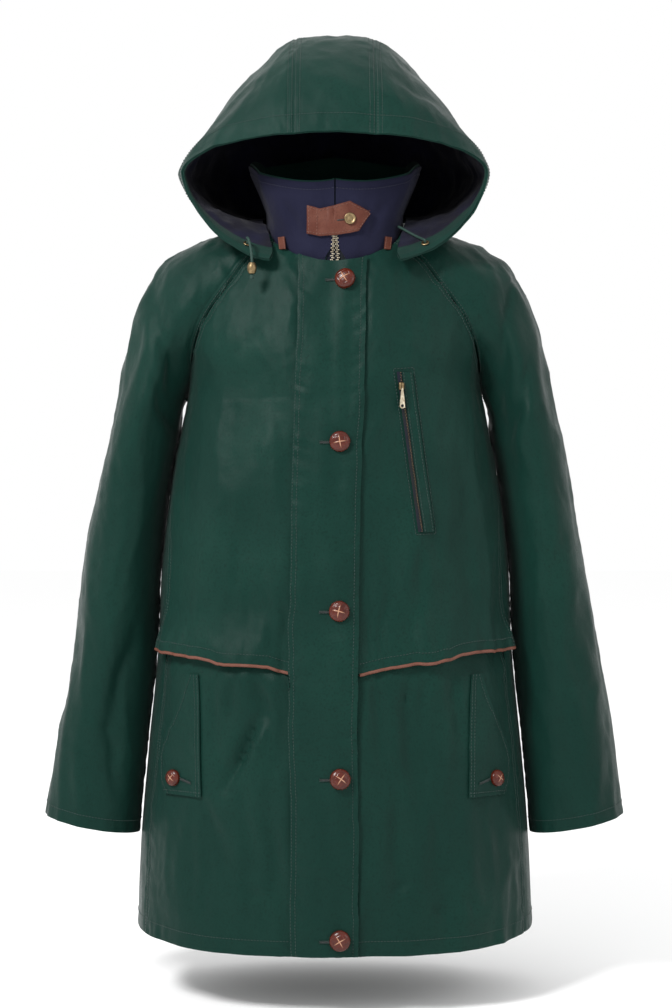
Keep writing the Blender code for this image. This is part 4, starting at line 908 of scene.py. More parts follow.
class Look:
    """One material's node tree, with short ways to add to it."""

    def __init__(self, name, colour, roughness, metallic=0.0):
        self.made = bpy.data.materials.new(name)
        self.made.use_nodes = True
        self.nodes = self.made.node_tree.nodes
        self.links = self.made.node_tree.links
        self.shader = self.nodes["Principled BSDF"]
        self.colour = colour
        self.set("Base Color", (*colour, 1))
        self.set("Roughness", roughness)
        self.set("Metallic", metallic)
        self.height = None
        self.place = self.nodes.new("ShaderNodeTexCoord")

    def set(self, socket, value):
        self.shader.inputs[socket].default_value = value

    def noise(self, scale, detail, stretch=None):
        node = self.nodes.new("ShaderNodeTexNoise")
        node.inputs["Scale"].default_value = scale
        node.inputs["Detail"].default_value = detail
        vector = self.place.outputs["Object"]
        if stretch:
            mapping = self.nodes.new("ShaderNodeMapping")
            mapping.inputs["Scale"].default_value = stretch
            self.links.new(vector, mapping.inputs["Vector"])
            vector = mapping.outputs["Vector"]
        self.links.new(vector, node.inputs["Vector"])
        return node.outputs["Fac"]

    def weave(self, pitch):
        """The threads of a cloth, both ways."""
        total = None
        for direction in ("X", "Y"):
            wave = self.nodes.new("ShaderNodeTexWave")
            wave.bands_direction = direction
            wave.inputs["Scale"].default_value = 0.314 / pitch
            wave.inputs["Distortion"].default_value = 0.6
            self.links.new(self.place.outputs["UV"], wave.inputs["Vector"])
            total = wave.outputs["Fac"] if total is None else self.math("ADD", total, wave.outputs["Fac"])
        return total

    def math(self, operation, a, b):
        node = self.nodes.new("ShaderNodeMath")
        node.operation = operation
        for socket, value in zip(node.inputs, (a, b)):
            if isinstance(value, (int, float)):
                socket.default_value = value
            else:
                self.links.new(value, socket)
        return node.outputs[0]

    def spread(self, value, low, high, start=0.35, end=0.65):
        node = self.nodes.new("ShaderNodeMapRange")
        for name, number in (("From Min", start), ("From Max", end), ("To Min", low), ("To Max", high)):
            node.inputs[name].default_value = number
        self.links.new(value, node.inputs["Value"])
        return node.outputs["Result"]

    def mottle(self, value, other, start=0.35, end=0.65):
        """Mixes another colour in where a value is high."""
        node = self.nodes.new("ShaderNodeMix")
        node.data_type = "RGBA"
        node.inputs["A"].default_value = (*self.colour, 1)
        node.inputs["B"].default_value = (*other, 1)
        source = self.shader.inputs["Base Color"]
        if source.is_linked:
            self.links.new(source.links[0].from_socket, node.inputs["A"])
        self.links.new(self.spread(value, 0, 1, start, end), node.inputs["Factor"])
        self.links.new(node.outputs["Result"], source)

    def rough(self, value, low, high):
        self.links.new(self.spread(value, low, high), self.shader.inputs["Roughness"])

    def bump(self, value, distance, strength=1.0):
        node = self.nodes.new("ShaderNodeBump")
        node.inputs["Strength"].default_value = strength
        node.inputs["Distance"].default_value = distance
        self.links.new(value, node.inputs["Height"])
        if self.height:
            self.links.new(self.height, node.inputs["Normal"])
        self.height = node.outputs["Normal"]
        self.links.new(self.height, self.shader.inputs["Normal"])


def coated_cloth(name, colour, light, roughness):
    look = Look(name, colour, roughness)
    look.mottle(look.noise(9.0, 5.0), light, 0.42, 0.75)
    look.mottle(look.noise(420.0, 2.0), [c * 0.72 for c in colour], 0.50, 0.80)
    look.rough(look.noise(28.0, 4.0), roughness - 0.06, roughness + 0.09)
    look.bump(look.noise(60.0, 4.0, stretch=(1.0, 1.0, 0.45)), 0.0007, 0.6)
    look.bump(look.noise(190.0, 3.0), 0.0003, 0.6)
    look.bump(look.weave(0.0006), 0.00006, 0.5)
    look.set("Specular IOR Level", 0.06)
    look.set("Sheen Weight", 0.03)
    return look.made


def matt_cloth(name, colour, light, thread):
    look = Look(name, colour, 0.88)
    look.mottle(look.noise(30.0, 5.0), light, 0.40, 0.80)
    look.bump(look.noise(120.0, 4.0), 0.0009, 0.6)
    look.bump(look.weave(thread), 0.00010, 0.6)
    look.set("Specular IOR Level", 0.12)
    look.set("Sheen Weight", 0.04)
    return look.made


def leather(name, colour, worn, roughness=0.58):
    look = Look(name, colour, roughness)
    look.mottle(look.noise(45.0, 6.0), worn, 0.40, 0.75)
    look.mottle(look.noise(900.0, 2.0), [c * 0.6 for c in colour], 0.55, 0.75)
    look.bump(look.noise(1100.0, 3.0), 0.00018, 0.7)
    look.set("Specular IOR Level", 0.15)
    return look.made


def woven_leather(name, colour, pale):
    """The buttons' leather, paler where the laces cross it."""
    look = Look(name, colour, 0.24)
    look.set("Specular IOR Level", 0.3)
    attribute = look.nodes.new("ShaderNodeAttribute")
    attribute.attribute_name = "pale"
    look.mottle(look.noise(160.0, 4.0), [c * 0.45 for c in colour], 0.40, 0.80)
    look.mottle(attribute.outputs["Fac"], pale, 0.25, 0.95)
    look.bump(look.noise(1400.0, 3.0), 0.00012, 0.7)
    return look.made


def metal(name, colour, dark, roughness):
    look = Look(name, colour, roughness, 1.0)
    look.mottle(look.noise(260.0, 4.0), dark, 0.45, 0.75)
    look.rough(look.noise(340.0, 3.0), roughness, roughness + 0.18)
    look.bump(look.noise(900.0, 2.0), 0.00005, 0.5)
    return look.made


def thread(name, colour):
    look = Look(name, colour, 0.62)
    look.bump(look.noise(2600.0, 2.0), 0.0001, 0.5)
    look.set("Sheen Weight", 0.1)
    return look.made


def braid(name, colour):
    look = Look(name, colour, 0.75)
    wave = look.nodes.new("ShaderNodeTexWave")
    wave.bands_direction = "DIAGONAL"
    wave.inputs["Scale"].default_value = 150.0
    look.links.new(look.place.outputs["Object"], wave.inputs["Vector"])
    look.bump(wave.outputs["Fac"], 0.0003, 0.7)
    return look.made


GREEN = (0.0032, 0.0200, 0.0150)
GREEN_LIGHT = (0.0044, 0.0260, 0.0192)
GREEN_THREAD = (0.0030, 0.0180, 0.0140)
NAVY = (0.0065, 0.0070, 0.0200)
NAVY_LIGHT = (0.0095, 0.0100, 0.0260)
LINING = (0.0050, 0.0048, 0.0100)
LEATHER = (0.0700, 0.0190, 0.0115)
LEATHER_WORN = (0.1150, 0.0420, 0.0270)
PIPING = (0.1200, 0.0480, 0.0340)
BUTTON = (0.0650, 0.0085, 0.0030)
BUTTON_PALE = (0.3800, 0.2000, 0.1200)
BRASS = (0.2200, 0.1600, 0.0850)
BRASS_DARK = (0.1000, 0.0680, 0.0350)
NICKEL = (0.5600, 0.5000, 0.3800)
TAPE = (0.0100, 0.0120, 0.0130)


def make_materials():
    return {
        "green": coated_cloth("green_cloth", GREEN, GREEN_LIGHT, 0.37),
        "inner_green": matt_cloth("inner_green", GREEN, GREEN_LIGHT, 0.0006),
        "navy": matt_cloth("navy_cloth", NAVY, NAVY_LIGHT, 0.0007),
        "lining": matt_cloth("navy_lining", LINING, NAVY, 0.0009),
        "tan": leather("tan_leather", LEATHER, LEATHER_WORN),
        "piping": leather("piping_leather", PIPING, LEATHER_WORN),
        "button": woven_leather("brown_leather", BUTTON, BUTTON_PALE),
        "brass": metal("antique_brass", BRASS, BRASS_DARK, 0.32),
        "nickel": metal("pale_nickel", NICKEL, BRASS, 0.28),
        "tape": matt_cloth("zip_tape", TAPE, NAVY, 0.0008),
        "thread": thread("green_thread", GREEN_THREAD),
        "navy_thread": thread("navy_thread", NAVY_LIGHT),
        "tan_thread": thread("tan_thread", LEATHER_WORN),
        # the buttonholes' and the keyhole's slits: a near-black colour that is painted shade
        "hole": thread("painted_slit_shade", (0.004, 0.006, 0.006)),
        "cord": braid("green_cord", GREEN_LIGHT),
    }


# --- body and sleeves ----------------------------------------------------------------------


def whole_panels():
    front, half_back, arm = whole_front(), whole_back(), sleeve_grid()
    panels = {
        "front_left": front,
        "front_right": mirrored(front),
        "back": np.concatenate([half_back, mirrored(half_back)[:, 1:]], axis=1),
        "sleeve_left": arm,
        "sleeve_right": mirrored(arm),
    }
    joined = joined_normals(panels)
    out = {}
    for name, grid in panels.items():
        depth = creased(grid) + crumpled(grid)
        out[name] = folded(grid, joined[name]) - joined[name] * depth[..., None]
    for side, sign in (("left", 1), ("right", -1)):
        body = np.concatenate([out[f"front_{side}"].reshape(-1, 3), out["back"].reshape(-1, 3)])
        arm = out[f"sleeve_{side}"]
        arm[..., 0] -= sign * hanging_in(arm * [sign, 1, 1], body * [sign, 1, 1])
    return out


HANG_CLEAR = 0.0008  # between a hanging sleeve and the body
HANG_MOST = 0.0100
HANG_LEAST = -0.004
HANG_WIDTH = 0.035  # the part of a sleeve's underside that moves
HANG_SIDE = 0.06  # how far from the side's middle the body is looked at
HANG_LEVEL = 0.006  # between the levels where its width is taken
HANG_ROWS = 10  # rows below the underarm over which the move sets in


def hanging_in(arm, body):
    """How far each point of a left sleeve moves in, so that the sleeve hangs against the body."""
    side = body[np.abs(body[:, 1] - SIDE_Y) < HANG_SIDE]
    levels = np.arange(-0.80, UNDERARM_Z, HANG_LEVEL)
    widest = [side[np.abs(side[:, 2] - z) < 0.005, 0].max() for z in levels]
    move = np.zeros(arm.shape[:-1])
    for i in range(YOKE_STEPS + 1, len(arm)):
        inner = arm[i, :, 0].min()
        at = arm[i, arm[i, :, 0].argmin(), 2]
        gap = inner - float(np.interp(at, levels, widest)) - HANG_CLEAR
        near = ease(1 - (arm[i, :, 0] - inner) / HANG_WIDTH)
        move[i] = np.clip(gap, HANG_LEAST, HANG_MOST) * near * ease((i - YOKE_STEPS) / HANG_ROWS)
    return move


# The flaps' lower edges: share of the way from the centre front to the side seam, height
FLAP_EDGE = {
    "right": table(
        "share z",
        (0.00, -0.4940), (0.157, -0.4939), (0.21, -0.4917), (0.25, -0.4876), (0.318, -0.4862),
        (0.44, -0.4863), (0.50, -0.4852), (0.55, -0.4812), (0.62, -0.4790), (0.75, -0.4778),
        (1.00, -0.4730),
    ),
    "left": table(
        "share z",
        (0.00, -0.4965), (0.07, -0.4961), (0.20, -0.4883), (0.318, -0.4842), (0.40, -0.4840),
        (0.46, -0.4810), (0.53, -0.4763), (0.66, -0.4736), (0.85, -0.4730), (1.00, -0.4715),
    ),
}
FLAP_END_OUT = 0.0050  # the flap's outer end stands out this much further
FLAP_EASE = 0.060  # the edge's own line is taken up over this height


def upper_part(front, side):
    turns = SIDE_TURN * crowded(BODY_COLUMNS)
    share = crowded(BODY_COLUMNS)
    edge = flap_edge_z(turns)
    above = front[: FLAP_ROW + 1, :, 2] - edge
    upper = proud(front[: FLAP_ROW + 1], turns)
    near = ease(1 - above / FLAP_EASE)
    upper[..., 2] += (np.interp(share, FLAP_EDGE[side]["share"], FLAP_EDGE[side]["z"]) - edge) * near
    upper[..., 0] += FLAP_END_OUT * ease(share * 3 - 2) * near**2
    return upper


def skirt_part(front):
    grid = front[FLAP_ROW - TUCK_ROWS :]
    height = grid[..., 2] - flap_edge_z(SIDE_TURN * crowded(BODY_COLUMNS))
    tuck = (WALL + 3 * GAP) * ease((height + 0.020) / 0.022)
    return grid - grid_normals(grid) * tuck[..., None]


def gathered(grid, normals, side, reach, amount, seed):
    """Small gathers that run in from one edge of a panel."""
    away = edge_distances(grid)
    value = ripples(away, side, 0.011, 0.11, seed)
    depth = amount * value * np.exp(-((away[side] / reach) ** 2))
    return grid - normals * depth[..., None]


GATHER_REACH = 0.034  # up from the flap's edge
GATHER_DEPTH = 0.0030
SEAM_STITCHES = (0.0022, 0.0075)  # two rows beside a seam
HEM_STITCHES = (0.0165,)


def body_and_sleeves(whole, looks):
    """Returns the whole fronts and each side's upper front and skirt as left-hand grids."""
    panels = {name: whole[name] for name in ("back", "sleeve_left", "sleeve_right")}
    for side in ("left", "right"):
        front = whole["front_left"] if side == "left" else mirrored(whole["front_right"])
        turn = mirrored if side == "right" else np.copy
        panels[f"front_{side}"] = turn(trimmed(upper_part(front, side), CENTRE_EDGE_X))
        panels[f"skirt_{side}"] = turn(trimmed(skirt_part(front), CENTRE_EDGE_X))
    joined = joined_normals(panels)
    outer_side = {"left": "e", "right": "s"}
    done = {}
    for name, grid in panels.items():
        normals = joined[name]
        kind, _, side = name.partition("_")
        if kind == "front":
            grid = gathered(grid, normals, "b", GATHER_REACH, GATHER_DEPTH, 3)
            grid = sewn(grid, normals, outer_side[side] + "t", hems="b")
            stitch_edges("thread", grid, outer_side[side], SEAM_STITCHES)
            stitch_edges("thread", grid, "b", (0.0105,))
        elif kind == "skirt":
            grid = sewn(grid, normals, outer_side[side], hems="b")
            stitch_edges("thread", grid, outer_side[side], SEAM_STITCHES)
            stitch_edges("thread", grid, "b", HEM_STITCHES)
        elif kind == "back":
            grid = sewn(grid, normals, "tse", hems="b")
            stitch_edges("thread", grid, "b", HEM_STITCHES)
        else:
            grid = sewn(grid, normals, "tse", hems="b")
            for edge in "se":
                cap = grid[: YOKE_STEPS + 1]
                line = inset_line(cap, grid_normals(cap), edge, 0.0030)
                stitch("thread", *line)
            stitch_edges("thread", grid, "b", (0.0140,))
        made = wall(name, grid, WALL, looks["green"], slot="green_cloth")
        done[name] = grid
    for side in ("left", "right"):
        turn = mirrored if side == "right" else np.copy
        done[f"upper_{side}"] = turn(done[f"front_{side}"])
        done[f"lower_{side}"] = turn(done[f"skirt_{side}"])
    return done


# --- hood and collar -----------------------------------------------------------------------


def neckline():
    """The half neckline's points from the centre front to the centre back."""
    shares = np.linspace(0, 1, 25)
    front = yoke_row(0.0, shares, -1)
    cut = math.radians(float(SLEEVE["cut_deg"][0]))
    side = sleeve_ring(0.0, np.linspace(-cut, cut, 37))
    back = yoke_row(0.0, shares, 1)[::-1]
    return np.concatenate([front, side[1:], back[1:]])


NECKLINE = neckline()


def neck_at(share):
    """Points of the half neckline at shares of its length."""
    along = lengths(NECKLINE)
    return points_at(NECKLINE, along, share * along[-1])


HOOD_OVER_STEPS = 64
HOOD_UNDER_STEPS = 44
HOOD_STEPS = 110
HOOD_LAST_HOOP = 0.955  # behind it the side panels close straight on each other
CENTRE_STEPS = 32
CENTRE_CROWN = 0.004


def hoop(station):
    """One half hoop of the hood, from the centre panel's seam to the neck."""
    row = {name: float(read(HOOD, name, station)) for name in HOOD}
    top = np.array([row["top_x"], row["top_y"], row["top_z"]])
    side = np.array([row["side_x"], row["side_y"], row["side_z"]])
    neck = neck_at(np.array(row["neck"]))
    out = unit(neck * [1, 1, 0] - [0, COLLAR_MIDDLE_Y, 0])
    neck = neck + out * HOOD_OUT + [0, 0, HOOD_UP]
    free = (1 - min(station / HOOD_FREE, 1)) ** 2
    neck = neck * (1 - free) + np.array(HOOD_FRONT_END) * free
    angle = np.linspace(0, math.pi / 2, HOOD_OVER_STEPS + 1)
    sine, cosine = np.sin(angle) ** (2 / row["over"]), np.cos(angle) ** (2 / row["over"])
    over = np.stack(
        [
            top[0] + (side[0] - top[0]) * sine,
            top[1] + (side[1] - top[1]) * sine**1.6,
            side[2] + (top[2] - side[2]) * cosine,
        ],
        axis=-1,
    )
    angle = np.linspace(0, math.pi / 2, HOOD_UNDER_STEPS + 1)[1:]
    sine, cosine = np.sin(angle) ** (2 / row["under"]), np.cos(angle) ** (2 / row["under"])
    under = np.stack(
        [
            neck[0] + (side[0] - neck[0]) * cosine,
            side[1] + (neck[1] - side[1]) * (1 - cosine) ** 1.2,
            side[2] + (neck[2] - side[2]) * sine,
        ],
        axis=-1,
    )
    return np.concatenate([over, under])


def evened(grid):
    """Each row's points again at equal steps, crowded towards its ends."""
    rows = []
    for row in grid:
        along = lengths(row)
        rows.append(points_at(row, along, crowded(len(row), 0.6) * along[-1]))
    return np.array(rows)


def hood_side():
    last, end = hoop(HOOD_LAST_HOOP), hoop(1.0)
    end = np.linspace(end[0], end[-1], len(end))
    rows = []
    for station in np.linspace(1, 0, HOOD_STEPS + 1):
        if station > HOOD_LAST_HOOP:
            share = (station - HOOD_LAST_HOOP) / (1 - HOOD_LAST_HOOP)
            rows.append(last + (end - last) * share)
        else:
            rows.append(hoop(station))
    return evened(np.array(rows))


def hood_centre(side):
    across = 2 * crowded(CENTRE_STEPS + 1, 0.6) - 1
    edge = side[:, 0]
    grid = np.repeat(edge[:, None], len(across), axis=1)
    grid[..., 0] = edge[:, None, 0] * across
    lift = CENTRE_CROWN * (1 - across**2)
    grid += grid_normals(grid) * lift[None, :, None]
    grid[:, 0] = edge * [-1, 1, 1]
    grid[:, -1] = edge
    return grid


HOOD_CREASES = table(
    "x0 y0 z0 x1 y1 z1 width depth",
    (0.150, -0.060, 0.150, 0.172, 0.000, 0.060, 0.010, 0.0030),
    (0.110, 0.000, 0.200, 0.160, 0.050, 0.130, 0.012, 0.0025),
    (0.080, -0.110, 0.160, 0.120, -0.090, 0.150, 0.008, 0.0016),
    (0.130, 0.020, 0.040, 0.160, 0.060, 0.100, 0.010, 0.0030),
    (0.070, 0.120, 0.060, 0.120, 0.100, 0.080, 0.010, 0.0030),
    (-0.140, -0.070, 0.160, -0.172, -0.010, 0.070, 0.010, 0.0030),
    (-0.090, 0.010, 0.215, -0.150, 0.060, 0.140, 0.012, 0.0025),
    (-0.075, -0.100, 0.180, -0.110, -0.095, 0.150, 0.009, 0.0016),
    (-0.130, 0.030, 0.030, -0.160, 0.060, 0.090, 0.010, 0.0030),
    (-0.060, 0.120, 0.070, -0.110, 0.105, 0.080, 0.010, 0.0030),
    (-0.020, -0.060, 0.215, 0.020, -0.020, 0.232, 0.010, 0.0018),
    (0.010, 0.060, 0.225, -0.020, 0.110, 0.180, 0.010, 0.0020),
)


def pressed(points, normals, rows):
    """The points with wandering troughs pressed in along the normals."""
    wander = noise_at(points, 0.045, 0.045, 9)[..., None] * WARP
    return points - normals * troughs(points + wander, rows)[..., None]


def hood(looks):
    side = hood_side()
    centre = hood_centre(side)
    panels = {"hood_left": side, "hood_right": mirrored(side), "hood_centre": centre}
    joined = joined_normals(panels)
    seams = {"hood_left": "st", "hood_right": "et", "hood_centre": "se"}
    for name, grid in panels.items():
        normals = joined[name]
        grid = pressed(grid, normals, HOOD_CREASES) - normals * crumpled(grid, 0.75)[..., None]
        grid = sewn(grid, normals, seams[name], hems="b")
        made = wall(name, grid, WALL, looks["green"], slot="green_cloth")
        stitch_edges("thread", grid, seams[name].replace("t", ""), (0.0022, 0.0070))
        stitch_edges("thread", grid, "b", (FACING_WIDTH + 0.001,))
    whole = np.concatenate([panels["hood_right"], centre[:, 1:-1], side], axis=1)
    return hood_inside(whole, looks)


def down_columns(grid, start, end, count):
    """Each column's points again, between two distances from its last point."""
    out = np.zeros((count, grid.shape[1], 3))
    for j in range(grid.shape[1]):
        line = grid[::-1, j]
        along = lengths(line)
        at = np.linspace(start, along[-1] if end is None else end, count)
        out[:, j] = points_at(line, along, at)
    return out[::-1]


FACING_STEPS = 24
LINING_STEPS = 90
LINING_SHARE = 0.80  # it ends short of the centre back
LINING_CRUMPLE = 0.0034
LINING_FINE = 0.0010  # its finer crumple
LINING_EASE = 0.012  # it lies flat at its edge and crumples over this width
RIM_WIDTH = 0.006  # the facing's rim that turns out to the shell
RIM_SHORT = 0.0002  # and stops this far short of it


def hood_inside(whole, looks):
    normals = grid_normals(whole)
    inset = whole - normals * (LINING_INSET + crumpled(whole, 0.5)[..., None])
    facing = down_columns(inset, 0.0, FACING_WIDTH, FACING_STEPS)
    rim = ease(1 - edge_distances(facing)["b"] / RIM_WIDTH)
    facing += grid_normals(facing) * ((LINING_INSET - WALL - RIM_SHORT) * rim)[..., None]
    made = wall("hood_facing", facing, FACING_WALL, looks["inner_green"], slot="green_cloth")
    stitch_edges("thread", facing, "t", (0.0020,))
    lining = down_columns(inset, FACING_WIDTH + GAP, None, LINING_STEPS)
    lining = lining[int(LINING_STEPS * (1 - LINING_SHARE)) :]
    facing_in = grid_normals(lining)
    wide = noise_at(lining, 0.030, 0.030, 41)
    fine = noise_at(lining, 0.012, 0.012, 43)
    depth = LINING_CRUMPLE * (0.9 - np.abs(wide) * 2.2) + LINING_FINE * fine
    depth *= ease(edge_distances(lining)["b"] / LINING_EASE)
    lining = lining - facing_in * depth[..., None]
    made = wall("hood_lining", lining, FACING_WALL, looks["lining"], slot="navy_lining")
    return facing, lining


COLLAR_STEPS = 78
COLLAR_ROWS = 40
COLLAR_CREASES = table(
    "x0 y0 z0 x1 y1 z1 width depth",
    (-0.008, -0.100, 0.050, -0.010, -0.100, 0.012, 0.006, 0.0030),
    (0.034, -0.095, 0.046, 0.046, -0.090, 0.006, 0.007, 0.0026),
    (-0.040, -0.095, 0.044, -0.050, -0.088, 0.004, 0.007, 0.0026),
    (0.060, -0.075, 0.050, 0.040, -0.100, -0.020, 0.006, 0.0030),
    (-0.062, -0.075, 0.048, -0.038, -0.100, -0.020, 0.006, 0.0030),
    (0.018, -0.100, 0.056, 0.024, -0.098, 0.036, 0.006, 0.0016),
)


def collar_grid():
    """The collar from its left end round the back to its right end, top row first."""
    share = np.linspace(0, 1, COLLAR_STEPS + 1)
    base = neck_at(share)
    rows = []
    for rise in np.linspace(0, 1, COLLAR_ROWS + 1):
        wide, front, back = (float(read(COLLAR, n, rise)) for n in ("wide", "front", "back"))
        deep = np.where(base[:, 1] < COLLAR_MIDDLE_Y, front, back)
        x = base[:, 0] * wide
        y = COLLAR_MIDDLE_Y + (base[:, 1] - COLLAR_MIDDLE_Y) * deep
        tall = COLLAR_HEIGHT - COLLAR_SIDE_DROP * np.sin(np.pi * share)
        z = base[:, 2] - COLLAR_TUCK + (tall + COLLAR_TUCK) * rise
        part = COLLAR_PART_X * (1 - ease(rise / COLLAR_PART_RISE)) + 0.0008
        close = 1 - ease(share / 0.08)
        x = np.maximum(x, part + share * 0.06) * close + x * (1 - close)
        rows.append(np.stack([x, y, z], axis=-1))
    half = np.array(rows)[::-1]
    return np.concatenate([half, mirrored(half)[:, 1:]], axis=1)


def collar(looks):
    plain = collar_grid()
    normals = grid_normals(plain)
    outer = pressed(plain, normals, COLLAR_CREASES)
    outer = outer - normals * crumpled(plain, 0.45)[..., None]
    outer = sewn(outer, normals, "", hems="t", pucker=0.8)
    inner = outer - normals * (COLLAR_WALL + GAP)
    rise = ease(1 - edge_distances(inner)["t"] / 0.010)
    inner[..., 2] += COLLAR_EDGE * rise
    made = wall("collar_outer", outer, COLLAR_WALL, looks["navy"], slot="navy_cloth")
    made = wall("collar_inner", inner, FACING_WALL, looks["inner_green"], slot="green_cloth")
    stitch_edges("navy_thread", outer, "t", (0.0090,))
    return outer


# --- what lies on the panels ---------------------------------------------------------------


def neckline_z(x):
    rise = SLEEVE["seam_z"][0] - NECK_FRONT_Z
    return NECK_FRONT_Z + rise * (x / SLEEVE["seam_x"][0]) ** 2


def over_flap(z):
    """1 where something passes over the flaps' edges, 0 well above and below."""
    return ease((FLAP_FRONT_Z + 0.085 - z) / 0.075) * ease((z - FLAP_FRONT_Z + 0.120) / 0.100)


FLY_STEPS = 260
FLY_ACROSS = 22
LAID = 0.0011  # between a panel and what lies on it
FLY_TOP = 0.040  # down to the fly's first level
FLY_RUN = 0.766  # and from there to its last
FLY_BOW = 0.0012  # it stands this much further out between its edges
FLY_CLEAR = 0.0014


def storm_fly(front, looks):
    f = np.linspace(0, 1, FLY_STEPS + 1)[:, None]
    across = crowded(FLY_ACROSS + 1, 0.6)[None, :]
    level = FLY_TOP + FLY_RUN * f
    left, right = read(FLY, "sewn_x", level), read(FLY, "free_x", level)
    xs = left + (right - left) * across
    top = neckline_z(np.abs(xs[:1])) - 0.0015
    zs = top + (HEM_Z + 0.0006 - top) * f
    bow = FLY_BOW * np.sin(np.pi * across)
    lift = LAID + WALL + FLY_OVER_FLAP * over_flap(zs) + bow + FLY_CLEAR
    grid = laid(front, xs, zs, lift)
    normals = grid_normals(grid)
    grid = sewn(grid, normals, "s", hems="e", pucker=1.3)
    made = wall("storm_fly", grid, WALL, looks["green"], slot="green_cloth")
    stitch_edges("thread", grid, "s", (0.0018, 0.0070))
    stitch_edges("thread", grid, "e", (0.0060,))
    return tree(grid)


def frame_at(normal):
    """Directions across and down a surface with this normal."""
    down = np.array([0.0, 0.0, -1.0])
    down = unit(down - normal * (down @ normal))
    return np.cross(down, normal), down


BUTTON_RADIUS = 0.0115
BUTTON_HEIGHT = 0.0078
BUTTONS = ((0.0116, -0.0575), (0.0055, -0.2400), (0.0050, -0.4270), (0.0055, -0.6110),
           (0.0055, -0.7870))  # x, z
LACE = 0.055  # half width of a pale lace, as a share of the button's radius
LACE_OUTER = 1.10  # the dome's rings go over its rim and under it from here


def bell(value):
    return math.exp(-(value**2))


def woven_dome(name, place, normal, radius, height, looks, spin):
    """A leather knot button: four glossy panels with a pale cross of laces over its crown."""
    across, down = frame_at(normal)
    rings, sides = 44, 96
    points, pale = [], []
    c, s = math.cos(spin), math.sin(spin)
    for i in range(rings + 1):
        share = i / rings
        flat = radius * min(share * LACE_OUTER, 1.0)
        lift = height * (0.30 + 0.70 * math.sqrt(max(0.0, 1 - (flat / radius) ** 2.3)))
        if share * LACE_OUTER > 1.0:
            lift = height * 0.30 * (1 - share) / (1 - 1 / LACE_OUTER)
        for j in range(sides):
            turn = 2 * math.pi * j / sides
            u, v = flat * math.cos(turn), flat * math.sin(turn)
            p, q = (u * c - v * s) / radius, (u * s + v * c) / radius
            p += 0.10 * q * q
            q += 0.08 * p * p
            one = bell(p / LACE) * ease(1.25 - abs(q) * 1.3)
            other = bell(q / LACE) * ease(1.25 - abs(p) * 1.3)
            lace = max(one, other)
            groove = max(bell((abs(p) - 0.56) / 0.055), bell((abs(q) - 0.56) / 0.055))
            groove *= 1.0 if abs(p) < 0.9 and abs(q) < 0.9 else 0.4
            bump = radius * (0.030 * lace - 0.030 * groove) * (1.0 if share < 0.85 else 0.0)
            points.append(place + across * u + down * v + normal * (GAP + lift + bump))
            pale.append(float(lace) if share < 0.86 else 0.0)
    faces = []
    for i in range(rings):
        for j in range(sides):
            k = (j + 1) % sides
            a, b = i * sides, (i + 1) * sides
            faces.append((a + j, b + j, b + k, a + k))
    faces.append(tuple(rings * sides + j for j in range(sides)))
    made = add_mesh(name, points, faces, looks["button"], slot="brown_leather")
    layer = made.data.attributes.new("pale", "FLOAT", "POINT")
    layer.data.foreach_set("value", np.array(pale, np.float32))


HOLES = []


HOLE_RADIUS = 0.0008
HOLE_EDGE = 0.0011  # between the slit's middle and its stitches


def buttonhole(line, normals):
    """A slit drawn as a near-black tube of painted shade, with a bar of close stitches on both sides."""
    HOLES.append((line, HOLE_RADIUS))
    for turn in (1, -1):
        edge = line + np.array([0, 0, HOLE_EDGE * turn])
        stitch("thread", edge, normals, 0.0006, 0.0005, 0.0011)


# The slits are near-black tubes: painted shade that stands for the shadow inside each slit.
def make_holes(looks):
    points, faces = [], []
    for line, radius in HOLES:
        shape = radius * np.sqrt(np.maximum(1 - np.linspace(-1, 1, len(line)) ** 4, 0.02))
        rings = tube_rings(line, shape, 8)
        faces += tube_faces(len(rings), 8, len(points))
        points += rings.reshape(-1, 3).tolist()
    add_mesh("buttonholes", points, faces, looks["hole"])


def buttons(fly, looks):
    for number, (x, z) in enumerate(BUTTONS, 1):
        place, normal = front_at(fly, x, z)
        spin = math.radians(34 + 23 * number)
        woven_dome(f"button_{number}", place, normal, BUTTON_RADIUS, BUTTON_HEIGHT, looks, spin)
        ends = [(x - 0.0225, z - 0.0010), (x + 0.0040, z - 0.0010)]
        buttonhole(*line_on(fly, ends, 0.0006, 30))


def strip_of_teeth(name, line, normals, pitch, size, look):
    """Small blocks on alternate sides of a line."""
    place, along, normal = resampled(line, normals, pitch)
    side = unit(np.cross(along, normal))
    points, faces = [], []
    for k, (p, a, n, s) in enumerate(zip(place, along, normal, side)):
        shift = (1 if k % 2 else -1) * size[0] * 0.22
        first = len(points)
        for lift, narrow in ((0.0, 1.0), (size[2] * 0.7, 1.0), (size[2], 0.6)):
            for u, v in ((-1, -1), (1, -1), (1, 1), (-1, 1)):
                points.append(
                    p + s * (shift + u * size[0] / 2 * narrow)
                    + a * v * size[1] / 2 * narrow + n * lift
                )
        faces.append((first + 3, first + 2, first + 1, first))
        faces.append((first + 8, first + 9, first + 10, first + 11))
        for low in (0, 4):
            for j in range(4):
                m = (j + 1) % 4
                faces.append((first + low + j, first + low + m, first + low + 4 + m, first + low + 4 + j))
    add_mesh(name, points, faces, look)


ZIP_TEETH = (0.0034, 0.0017, 0.0012)  # across, along, out
COLLAR_TEETH = (0.0030, 0.0011, 0.0014)


